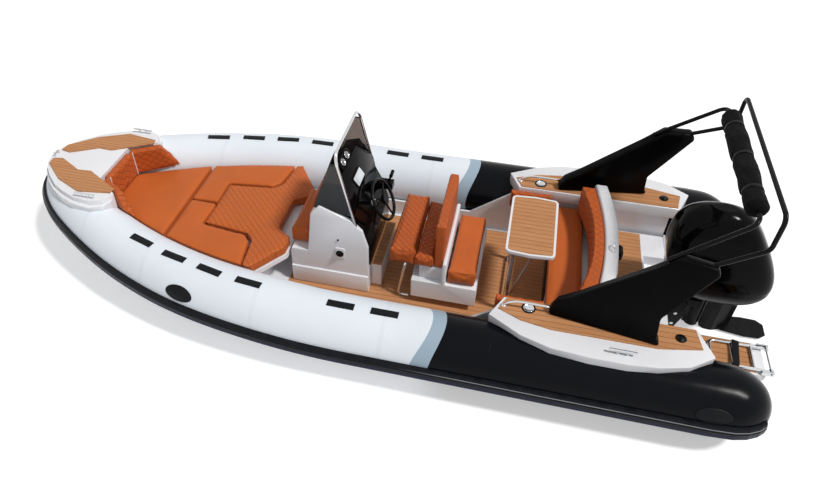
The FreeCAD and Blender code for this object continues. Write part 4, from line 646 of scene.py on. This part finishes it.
def rounded_square(corner):
    """Corners of a square of half side 1 whose corners are arcs of the given radius."""
    points = []
    for x, y, start in ((1, 1, 0), (-1, 1, 90), (-1, -1, 180), (1, -1, 270)):
        for step in range(7):
            a = math.radians(start + 15 * step)
            points.append((x * (1 - corner) + corner * math.cos(a), y * (1 - corner) + corner * math.sin(a)))
    return points


trees = {}


def land(node_name, start, way):
    """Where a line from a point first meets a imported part, and how that surface faces."""
    if node_name not in trees:
        net = bmesh.new()
        net.from_mesh(nodes[node_name].data)
        trees[node_name] = BVHTree.FromBMesh(net)
        net.free()
    return trees[node_name].ray_cast(Vector(start), Vector(way).normalized())[:2]


# Mouldings whose sharp edges are rounded

WELD = 2e-5
FLAT = math.radians(1.0)
SHARP = math.radians(32.0)
OWN_FINISH = {"arch_port": arch_black, "arch_starboard": arch_black}


def softened(name, radius, shape=None):
    """A moulding as packed, with its sharp edges rounded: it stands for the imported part."""
    net = bmesh.new()
    net.from_mesh(nodes[name].data)
    bmesh.ops.remove_doubles(net, verts=net.verts, dist=WELD)
    bmesh.ops.dissolve_limit(net, angle_limit=FLAT, verts=net.verts, edges=net.edges)
    if shape:
        shape(net)
    sharp = [edge for edge in net.edges
             if edge.is_manifold and edge.calc_face_angle(0.0) > SHARP and edge.calc_length() > radius]
    bmesh.ops.bevel(net, geom=sharp, offset=radius, segments=2, profile=0.5, affect="EDGES",
                    clamp_overlap=True)
    item = piece("moulded_" + name, net, slots[name], OWN_FINISH.get(name), bodies[name], crease=28.0)
    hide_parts(name)


edge_radii = {
    "console": 0.018, "helm_base": 0.012, "arch_port": 0.020, "arch_starboard": 0.020, "console_step": 0.008,
    "aft_deck": 0.008, "helm_box": 0.008, "swim_platforms": 0.010, "dash_pod": 0.012, "table_rim": 0.004,
    "nose_deck": 0.008, "side_deck_port": 0.008, "side_deck_starboard": 0.008,
}
for name, radius in edge_radii.items():
    softened(name, radius)


# The bench's back and its rim bow aft between their ends

BENCH_BOW = 0.080


def bowed(spot, half):
    """How far forward of its middle the bench's back comes at one place across."""
    return BENCH_BOW * min(abs(spot.y) / half, 1.0) ** 2


def bow_rim(net):
    """Cuts the bench's moulding across, and bows its upper aft wall."""
    half = corners("bench_base")[1].y
    wall = 0.02
    cuts = 14
    for i in range(1, cuts):
        across = half * (2 * i / cuts - 1)
        bmesh.ops.bisect_plane(net, geom=net.verts[:] + net.edges[:] + net.faces[:], plane_co=(0, across, 0),
                               plane_no=PORT)
    low = corners("bench_back")[0]
    for vertex in net.verts:
        if vertex.co.x < low.x + wall and vertex.co.z > low.z:
            vertex.co.x += bowed(vertex.co, half)


softened("bench_base", 0.012, bow_rim)


# Aft tubes, smooth over their cones

def aft_tube(source):
    """The straight tube with its stern cone, up to the crowned joint."""
    low, high = corners(source)
    radius = (high.z - low.z) / 2
    centre = (low + high) / 2
    cone = 0.42
    crown = 0.465
    crown_x = high.x + math.sqrt(crown ** 2 - radius ** 2)
    turn = angles(96)
    # Share of the cone's length, and share of the tube's radius there
    shares = ((0.0, 0.0), (0.0, 0.30), (0.03, 0.42), (0.10, 0.58), (0.22, 0.74), (0.40, 0.88), (0.62, 0.965),
              (1.0, 1.0))
    profile = smooth_path([Vector((low.x + cone * a, radius * b, 0)) for a, b in shares], 5)[4:]
    rings = [[Vector((spot.x, centre.y + spot.y * math.cos(a), centre.z + spot.y * math.sin(a)))
              for a in turn] for spot in profile]
    start = low.x + cone
    for share in (0.15, 0.3, 0.45, 0.6, 0.75, 0.9, 1.0):
        ring = []
        for a in turn:
            across = radius * math.cos(a)
            end = crown_x - math.sqrt(crown ** 2 - across ** 2)
            along = start + (end - start) * share
            ring.append(Vector((along, centre.y + across, centre.z + radius * math.sin(a))))
        rings.append(ring)
    net = bmesh.new()
    skin(net, rings)
    item = piece("smooth_" + source, net, "tube_black", crease=50.0)
    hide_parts(source)


aft_tube("tube_port")
aft_tube("tube_starboard")


# Cushions: each pad is blown up as cloth from a slightly smaller form, then sewn through

# How far the form is drawn in, how far the cloth may carry a point, and runs of smoothing
INSET = 0.004
CAP = 0.009
ROUNDING = 7


def rows(first, second, size):
    """Two ways whose whole numbers are the stitched rows, crossing as diamonds."""
    return tuple(tuple((a + b * sign) / size / 2 for a, b in zip(first, second)) for sign in (1, -1))


def bake(item):
    """Makes what a piece's modifiers do its own mesh."""
    graph = bpy.context.evaluated_depsgraph_get()
    fixed = bpy.data.meshes.new_from_object(item.evaluated_get(graph))
    item.modifiers.clear()
    item.data = fixed


def smaller_form(source, voxel):
    """A cushion's solid as an even closed net of small faces, drawn in from its skin."""
    name = "pad_" + source
    net = bmesh.new()
    net.from_mesh(nodes[source].data)
    bmesh.ops.remove_doubles(net, verts=net.verts, dist=1e-5)
    item = bpy.data.objects.new(name, mesh_of(name, net))
    scene.collection.objects.link(item)
    remesh = item.modifiers.new("remesh", "REMESH")
    remesh.mode = "VOXEL"
    remesh.voxel_size = voxel
    item.modifiers.new("round_off", "SMOOTH").iterations = ROUNDING
    bake(item)
    starts = [v.co - v.normal * INSET for v in item.data.vertices]
    for vertex, start in zip(item.data.vertices, starts):
        vertex.co = start
    return item


def blow_up(items):
    """Inflates all the pads in one run of the cloth solver and limits how far each point goes."""
    starts = {item.name: [v.co.copy() for v in item.data.vertices] for item in items}
    frames = 16
    for item in items:
        cloth = item.modifiers.new("cloth", "CLOTH")
        settings = cloth.settings
        settings.quality = 4
        settings.mass = 0.3
        settings.tension_stiffness = 12
        settings.compression_stiffness = 12
        settings.bending_stiffness = 0.5
        settings.use_pressure = True
        settings.uniform_pressure_force = 4
        settings.effector_weights.gravity = 0
        cloth.point_cache.frame_start = 1
        cloth.point_cache.frame_end = frames
    for step in range(1, frames + 1):
        scene.frame_set(step)
    for item in items:
        bake(item)
        for vertex, start in zip(item.data.vertices, starts[item.name]):
            way = vertex.co - start
            if way.length > CAP:
                vertex.co = start + way * (CAP / way.length)
    scene.frame_set(1)


def sew(item, quilt, depth, faces):
    """Pulls the stitched rows in on the faces that turn one of the given ways."""
    turned_away, turned_to = 0.3, 0.7
    moves = []
    for vertex in item.data.vertices:
        spot = Vector((vertex.co.x, abs(vertex.co.y), vertex.co.z))
        puff = 1.0
        for way in quilt:
            puff *= abs(math.sin(math.pi * spot.dot(Vector(way))))
        facing = Vector((vertex.normal.x, abs(vertex.normal.y), vertex.normal.z))
        share = max(facing.dot(Vector(face)) for face in faces)
        share = min(max((share - turned_away) / (turned_to - turned_away), 0.0), 1.0)
        moves.append(vertex.co - vertex.normal * (depth * share * (1.0 - math.sqrt(puff))))
    for vertex, move in zip(item.data.vertices, moves):
        vertex.co = move


# Cushion's node: net size, rows of stitching, depth of the stitching, faces sewn, colour
pads = {
    "bow_cushion_front": (0.012, (), 0, (), ORANGE),
    "bow_cushion_port": (0.012, (), 0, (), ORANGE),
    "bow_cushion_starboard": (0.012, (), 0, (), ORANGE),
    "bow_infill": (0.011, rows((1, 0, 0), (0, 1, 0), 0.031), 0.003, (UP,), ORANGE),
    "bow_backrest": (0.010, rows((-0.45, 0.89, 0), (0, 0, 1), 0.036), 0.003, (AFT, INBOARD), DEEP_ORANGE),
    "console_seat": (0.010, (), 0, (), ORANGE),
    "helm_cushion": (0.010, rows((0, 1, 0), (1, 0, 0), 0.030), 0.0025, (UP,), DEEP_ORANGE),
    "helm_bolster": (0.009, rows((0, 1, 0), (1, 0, -1), 0.030), 0.0025, (UP, AHEAD), DEEP_ORANGE),
    "helm_back": (0.009, rows((0, 1, 0), (-1, 0, 1), 0.034), 0.0025, (AHEAD,), DEEP_ORANGE),
    "aft_seat": (0.010, (), 0, (), ORANGE),
    "bench_cushion": (0.012, (), 0, (), ORANGE),
    "bench_back": (0.010, rows((0, 1, 0), (-1, 0, 1), 0.036), 0.003, (AHEAD, UP), DEEP_ORANGE),
    "side_bolsters": (0.009, rows((1, 0, 0), (0, 1, 1), 0.042), 0.004, (INBOARD, UP), DEEP_ORANGE),
}
plump = {source: smaller_form(source, row[0]) for source, row in pads.items()}
blow_up(list(plump.values()))
for source, (voxel, quilt, depth, faces, colour) in pads.items():
    item = plump[source]
    finer = item.modifiers.new("finer", "SUBSURF")
    finer.levels = 1
    finer.render_levels = 1
    bake(item)
    if quilt:
        sew(item, quilt, depth, faces)
    if source == "bench_back":
        half = corners(source)[1].y
        for vertex in item.data.vertices:
            vertex.co.x += bowed(vertex.co, half)
    for face in item.data.polygons:
        face.use_smooth = True
    dress(item, vinyl("vinyl_" + source, colour, quilt))
    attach(item, "boat")
    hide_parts(source)


# Canopy, rolled up slack round the arch's bar and tied

def canopy_roll():
    """The rolled cloth, pinched by its ties and gathered at its ends."""
    low, high = corners("canopy_roll")
    centre = (low + high) / 2
    radius = (high.z - low.z) / 2
    length = high.y - low.y
    ties = (0.17, 0.5, 0.83)
    tie_share, end_share = 0.022, 0.035
    slack = 0.010
    steps = 150
    rings = []
    for step in range(steps + 1):
        share = step / steps
        pinch = max(math.exp(-((share - tie) / tie_share) ** 2) for tie in ties)
        gather = min(1.0, min(share, 1 - share) / end_share) ** 0.5
        sag = slack * math.sin(math.pi * ((share * 3) % 1.0)) * (1 - pinch)
        ring = []
        for a in angles(72):
            spot = Vector((math.cos(a) * 1.5, share * 5.0, math.sin(a) * 1.5))
            fold = lumps.noise(spot) * 0.5 + lumps.noise(spot * 2.6 + Vector((3, 1, 7))) * 0.35
            crease = math.sin(a * 5 + lumps.noise(Vector((share * 7, 2, 0))) * 5) * 0.5
            out = radius * (0.90 + 0.11 * fold + 0.035 * crease - 0.17 * pinch)
            out = min(out, radius * 1.03) * (0.55 + 0.45 * gather)
            ring.append(Vector((centre.x + out * math.cos(a), low.y + length * share,
                                centre.z + out * math.sin(a) - sag)))
        rings.append(ring)
    net = bmesh.new()
    skin(net, rings)
    item = piece("canopy_cover", net, "canvas_black")
    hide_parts("canopy_roll")
    net = bmesh.new()
    tied = radius * 0.81
    for tie in ties:
        middle = Vector((centre.x, low.y + length * tie, centre.z))
        loop = [middle + Vector((tied * math.cos(a), 0, tied * math.sin(a))) for a in angles(40)]
        strip(net, loop, [(point - middle).normalized() for point in loop], 0.030, 0.005, looped=True)
    piece("canopy_ties", net, "canvas_black", strip_rubber)


canopy_roll()


# Fittings: a form turned on a lathe is a profile of how far out of its face and how far from its axis

CLEAR = 0.0003
DECK_TEAK = 0.008
# The way that the sloping dash faces, and the way up it
DASH_FACE = Vector((-0.819, 0, 0.573))
DASH_UP = Vector((0.573, 0, 0.819))


def side_switches():
    """Battery switch on its plate, and the latch above it, on the console's port side."""
    skirt = 0.016
    side = corners("console")[1].y - skirt
    x, z = 0.148, 0.479
    half_wide, half_tall, thick = 0.046, 0.060, 0.007
    net = bmesh.new()
    plate = [Vector((x + half_wide * a, side, z + half_tall * b)) for a, b in rounded_square(0.3)]
    slab(net, plate, Vector(PORT) * thick, 0.006)
    piece("switch_plate", net, "gelcoat")
    net = bmesh.new()
    knob = ((0.0, 0.034), (0.006, 0.034), (0.009, 0.031), (0.009, 0.018), (0.020, 0.016), (0.022, 0.010))
    turned(net, knob, (x, side + thick + 0.0002, z), PORT)
    latch = ((0.0, 0.009), (0.005, 0.009), (0.008, 0.005))
    turned(net, latch, (x + 0.011, side + 0.0002, z + 0.150), PORT, 20)
    piece("switch_knob", net, "black_frame")


def gauge_hood():
    """A rounded hood on top of the dash, with two dials in its face."""
    foot = Vector((0.160, 0.010, corners("dash_pod")[1].z + 0.0005))
    half_wide, tall, lean = 0.122, 0.064, 0.70
    # How far behind the face, and shares of the height and of the width there
    steps = ((0.0, 0.92, 0.96), (0.004, 1.0, 1.0), (0.050, 1.0, 1.0), (0.095, 0.72, 0.93),
             (0.120, 0.30, 0.80))
    rings = []
    for back, up_share, wide_share in steps:
        ring = []
        for a, b in rounded_square(0.5):
            up = tall * up_share * max(0.0, min(1.0, (b + 0.5) / 1.5))
            ring.append(foot + Vector((up * lean * (1 - back * 8) + back, half_wide * wide_share * a, up)))
        rings.append(ring)
    net = bmesh.new()
    skin(net, rings)
    piece("gauge_hood", net, "black_gloss", crease=40.0)
    bezel = ((0.0008, 0.031), (0.008, 0.032), (0.010, 0.030), (0.010, 0.027), (0.004, 0.026))
    glass = ((0.0010, 0.0255), (0.0055, 0.0255), (0.0075, 0.020), (0.008, 0.004))
    dial_height = 0.031
    spots = [foot + Vector((dial_height * lean, across, dial_height)) for across in (0.063, -0.042)]
    for name, profile, slot, finish in (("gauge_bezels", bezel, "stainless", None),
                                        ("gauge_glasses", glass, "black_gloss", dial_face("dial_face"))):
        net = bmesh.new()
        for spot in spots:
            turned(net, profile, spot, DASH_FACE)
        piece(name, net, slot, finish)


def flat_display():
    """Flat screen in its frame on the dash."""
    start = Vector((0.063, 0.035, 1.060)) + DASH_FACE * 0.2
    spot = land("dash_pod", start, -DASH_FACE)[0]
    glass = display_glass("display_glass")
    # Half width, half height, thickness, how far off the dash, slot and finish
    parts = {"display_frame": (0.098, 0.050, 0.010, CLEAR, "black_frame", None),
             "display_glass": (0.088, 0.041, 0.003, 0.0105, "black_gloss", glass)}
    for name, (wide, tall, thick, off, slot, finish) in parts.items():
        foot = spot + DASH_FACE * off
        net = bmesh.new()
        outline = [foot + Vector((0, wide * a, 0)) + DASH_UP * (tall * b) for a, b in rounded_square(0.18)]
        slab(net, outline, DASH_FACE * thick, 0.004)
        piece(name, net, slot, finish)


def console_back():
    """Padded back of the forward seat, on the console's front."""
    half, seat_top = corners("console_seat")[1].yz
    gap, step, highest = 0.012, 0.02, 1.2
    reach = []
    height = seat_top + gap
    while height < highest:
        spot, facing = land("console", (1.5, 0, height), AFT)
        if not spot or facing.x < 0.6:
            break
        reach.append(spot)
        height += step
    first, last = reach[0], reach[-2]
    way = (last - first).normalized()
    out = Vector(PORT).cross(way)
    middle = (first + last) / 2
    tall = (last - first).length / 2
    thick = 0.060
    outline = [middle + out * 0.002 + Vector((0, half * a, 0)) + way * (tall * b)
               for a, b in rounded_square(0.25)]
    rings = []
    for share, inward in ((0.0, 0.02), (0.25, 0.0), (0.6, 0.0), (0.85, 0.014), (0.97, 0.030), (1.0, 0.050)):
        ring = []
        for point in outline:
            arm = point - middle
            ring.append(middle + arm * (1 - inward / max(arm.length, 0.05)) + out * (thick * share))
        rings.append(ring)
    net = bmesh.new()
    skin(net, rings)
    finish = vinyl("vinyl_console_back", DEEP_ORANGE)
    item = piece("console_back", net, "upholstery", finish, crease=60.0)


def deck_rails():
    """Hand rails that rise from the side decks to the arch's feet."""
    net = bmesh.new()
    deck = corners("side_deck_port")[1].z + DECK_TEAK + 0.0004
    thick, height = 0.018, 0.705
    flange = ((0.0002, 0.022), (0.004, 0.022), (0.006, 0.012))
    for side, sign in (("port", 1), ("starboard", -1)):
        foot = Vector((-1.272, 0.795 * sign, deck))
        end = land("arch_" + side, (-1.3, foot.y, height), AFT)[0]
        line = [foot + Vector(rise) for rise in ((0, 0, 0.004), (-0.022, 0, 0.030), (-0.075, 0, 0.056),
                                                 (-0.14, 0, 0.064))]
        line.append(Vector((end.x + 0.0005, foot.y, height)))
        strip(net, smooth_path(line, 8), PORT, thick, thick, 14)
        turned(net, flange, foot, UP, 24)
    piece("deck_rails", net, "stainless")


def rim_socket():
    """Black socket on the aft face of the bench's rim."""
    low, high = corners("bench_base")
    middle = Vector((low.x - CLEAR, 0.02, high.z - 0.13))
    net = bmesh.new()
    outline = [middle + Vector((0, 0.055 * a, 0.045 * b)) for a, b in rounded_square(0.35)]
    slab(net, outline, Vector(AFT) * 0.045, 0.012)
    piece("rim_socket", net, "black_frame")


def rim_eye():
    """Steel eye on top of the bench's rim."""
    low, high = corners("bench_base")
    foot = Vector((low.x + 0.055, 0.135, high.z + CLEAR))
    half, rod, rise = 0.030, 0.011, 0.028
    post = ((0.0, 0.014), (0.003, 0.014), (0.004, 0.007), (0.030, 0.006))
    net = bmesh.new()
    for sign in (-1, 1):
        turned(net, post, foot + Vector((0, half * sign, 0)), UP, 20)
    arc = [foot + Vector((0, half * math.cos(a), rise + 0.024 * math.sin(a)))
           for a in (math.pi * i / 10 for i in range(11))]
    strip(net, arc, AHEAD, rod, rod, 12)
    piece("rim_eye", net, "stainless")


def deck_fittings():
    """Cup holders and filler caps on both side decks."""
    deck = corners("side_deck_port")[1].z + DECK_TEAK + CLEAR
    ring = ((0.0, 0.052), (0.004, 0.053), (0.006, 0.049), (0.006, 0.042), (0.0005, 0.041))
    cup = ((0.0002, 0.0405), (0.0045, 0.0405), (0.0045, 0.0385), (0.001, 0.037), (0.001, 0.004))
    cap = ((0.0, 0.038), (0.005, 0.039), (0.008, 0.034), (0.008, 0.018), (0.012, 0.016), (0.013, 0.010))
    steel, black = bmesh.new(), bmesh.new()
    for sign in (1, -1):
        foot = Vector((-1.457, 0.783 * sign, deck))
        turned(black, ring, foot, UP)
        turned(steel, cup, foot, UP)
        turned(black, cap, (-2.545, 0.822 * sign, deck), UP)
    piece("cup_holders", steel, "stainless")
    piece("deck_caps", black, "black_frame")


def bench_opening_shade():
    """Black panel on the bench's front: painted shade standing for the dark opening there."""
    middle = Vector((corners("bench_base")[1].x + 0.0004, 0, 0.225))
    net = bmesh.new()
    outline = [middle + Vector((0, 0.30 * a, 0.115 * b)) for a, b in rounded_square(0.14)]
    slab(net, outline, Vector(AHEAD) * 0.008, 0.006)
    piece("bench_opening_shade", net, "black_gloss")


def tube_handles():
    """Oval handle patches on the outer sides of the tubes."""
    half_long, half_tall, outside = 0.125, 0.055, 2.0
    # How far off the tube, and share of the patch's size there
    steps = ((0.0004, 1.0), (0.005, 0.97), (0.007, 0.88), (0.0055, 0.62), (0.0095, 0.50), (0.0105, 0.30))
    net = bmesh.new()
    for port_tube, starboard_tube, x, z in (("tube_bow", "tube_bow", 1.27, 0.50),
                                            ("tube_port", "tube_starboard", -2.78, 0.42)):
        for tube, sign in ((port_tube, 1), (starboard_tube, -1)):
            rings = []
            for off, share in steps:
                ring = []
                for a in angles(48):
                    along = x + half_long * share * math.cos(a)
                    start = (along, outside * sign, z + half_tall * share * math.sin(a))
                    spot, facing = land(tube, start, (0, -sign, 0))
                    ring.append(spot + facing * off)
                rings.append(ring)
            skin(net, rings)
    piece("tube_handles", net, "rail_black", strip_rubber)


def ladder_strap():
    """Webbing that holds the folded ladder down on its platform."""
    top = corners("ladder")[1].z
    deck = corners("swim_platforms")[1].z + DECK_TEAK + 0.0004
    line = [Vector(spot) for spot in (
        (-3.075, 0.432, deck + 0.001), (-3.070, 0.452, deck + 0.004), (-3.062, 0.472, top + 0.003),
        (-3.055, 0.500, top + 0.004), (-3.045, 0.590, top + 0.002), (-3.035, 0.680, top + 0.004),
        (-3.028, 0.708, top + 0.003), (-3.022, 0.724, deck + 0.003))]
    net = bmesh.new()
    strip(net, smooth_path(line, 8), UP, 0.050, 0.0035)
    piece("ladder_strap", net, "canvas_black", strip_rubber)


def fairlead():
    """Two posts and a roller at the stem."""
    low, high = corners("nose_pads")
    foot = Vector((high.x + 0.012, 0, low.z + CLEAR))
    post = ((0.0, 0.012), (0.006, 0.012), (0.010, 0.007), (0.034, 0.006), (0.040, 0.009), (0.042, 0.005))
    net = bmesh.new()
    for sign in (1, -1):
        turned(net, post, foot + Vector((0, 0.028 * sign, 0)), UP, 24)
    roller = [Vector((foot.x, across, low.z + height)) for across, height in ((-0.034, 0.030), (0, 0.031),
                                                                            (0.034, 0.030))]
    strip(net, roller, UP, 0.010, 0.010)
    piece("fairlead", net, "stainless")


def backrest_piping():
    """White piping between the backrest's panels."""
    low, high = corners("bow_backrest")
    cast, seam, proud, thick = 0.186, 0.011, 0.002, 0.010
    net = bmesh.new()
    for sign in (1, -1):
        line = []
        for share in (0.06, 0.3, 0.55, 0.8, 0.96):
            height = low.z + (high.z - low.z) * share
            spot = land("bow_backrest", (low.x - 0.5, cast * sign, height), AHEAD)[0]
            if spot:
                line.append(spot + Vector((-proud, seam * sign, 0)))
        strip(net, smooth_path(line, 4), PORT, thick, thick, 10)
    piece("backrest_piping", net, "tube_white")


def clamp_bolts():
    """Bolt heads on both sides of the clamp bracket."""
    head = ((0.0003, 0.014), (0.002, 0.014), (0.0022, 0.010), (0.0042, 0.0095), (0.005, 0.006))
    net = bmesh.new()
    for sign in (1, -1):
        for z in (-0.02, 0.10, 0.22):
            spot = land("clamp_bracket", (-2.675, 0.6 * sign, z), (0, -sign, 0))[0]
            turned(net, head, spot, (0, sign, 0), 12)
    piece("clamp_bolts", net, "stainless")


def cowl_line():
    """The raised line round both sides of the cowl."""
    steps = 6
    points = ((-2.53, 0.925), (-2.62, 0.880), (-2.70, 0.868), (-2.79, 0.870), (-2.87, 0.90), (-2.95, 0.955))
    net = bmesh.new()
    for sign in (1, -1):
        line = []
        facings = []
        for x, z in points:
            spot, facing = land("cowl", (x, 1.0 * sign, z), (0, -sign, 0))
            line.append(spot + facing * 0.0008)
            facings.append(facing)
        path = smooth_path(line, steps)
        strip(net, path, [facings[min(i // steps, len(points) - 1)] for i in range(len(path))], 0.006, 0.0035)
    piece("cowl_line", net, "black_gloss", finishes["engine_metal"], "engine")


for fit in (side_switches, gauge_hood, flat_display, console_back, deck_rails, rim_socket, rim_eye,
            deck_fittings, bench_opening_shade, tube_handles, ladder_strap, fairlead, backrest_piping, clamp_bolts,
            cowl_line):
    fit()


# Floor, backdrop and light

def camera_glow(tree, share):
    """A strength that only the camera, mirrors and glass see."""
    path = node(tree, "ShaderNodeLightPath").outputs
    seen = calc(tree, "MAXIMUM", path["Is Camera Ray"],
                calc(tree, "MAXIMUM", path["Is Glossy Ray"], path["Is Transmission Ray"]))
    return times(tree, seen, share)


def plain_floor():
    """A wide pale floor at the water's height."""
    reach = 60.0
    mesh = bpy.data.meshes.new("floor")
    mesh.from_pydata([(-reach, -reach, 0), (reach, -reach, 0), (reach, reach, 0), (-reach, reach, 0)], [],
                     [(0, 1, 2, 3)])
    item = bpy.data.objects.new("floor", mesh)
    scene.collection.objects.link(item)
    made, tree, shader, where = material("floor")
    finish_surface(tree, shader, rgb(0.80, 0.80, 0.81), 0.9)
    glow = node(tree, "ShaderNodeEmission", {"Color": rgb(1, 1, 1), "Strength": camera_glow(tree, 0.42)})
    both = node(tree, "ShaderNodeAddShader", {0: shader.outputs[0], 1: glow.outputs[0]})
    tree.links.new(both.outputs[0], tree.nodes["Material Output"].inputs["Surface"])
    item.data.materials.append(made)


def studio():
    """Soft white light all round, and one sun from aft, a little to port and above."""
    world = bpy.data.worlds.new("studio")
    scene.world = world
    world.use_nodes = True
    tree = world.node_tree
    back = tree.nodes["Background"]
    back.inputs["Color"].default_value = rgb(1, 1, 1)
    soft = 0.36
    tree.links.new(calc(tree, "ADD", camera_glow(tree, 1.0 - soft), soft), back.inputs["Strength"])
    lamp = bpy.data.lights.new("key", "SUN")
    lamp.energy = 2.5
    lamp.angle = 0.12
    lamp.color = (1.0, 0.98, 0.95)
    item = bpy.data.objects.new("key", lamp)
    item.rotation_mode = "QUATERNION"
    sunbeam = Vector((0.66, -0.16, -1.0))
    item.rotation_quaternion = sunbeam.to_track_quat("-Z", "Y")
    scene.collection.objects.link(item)


plain_floor()
studio()
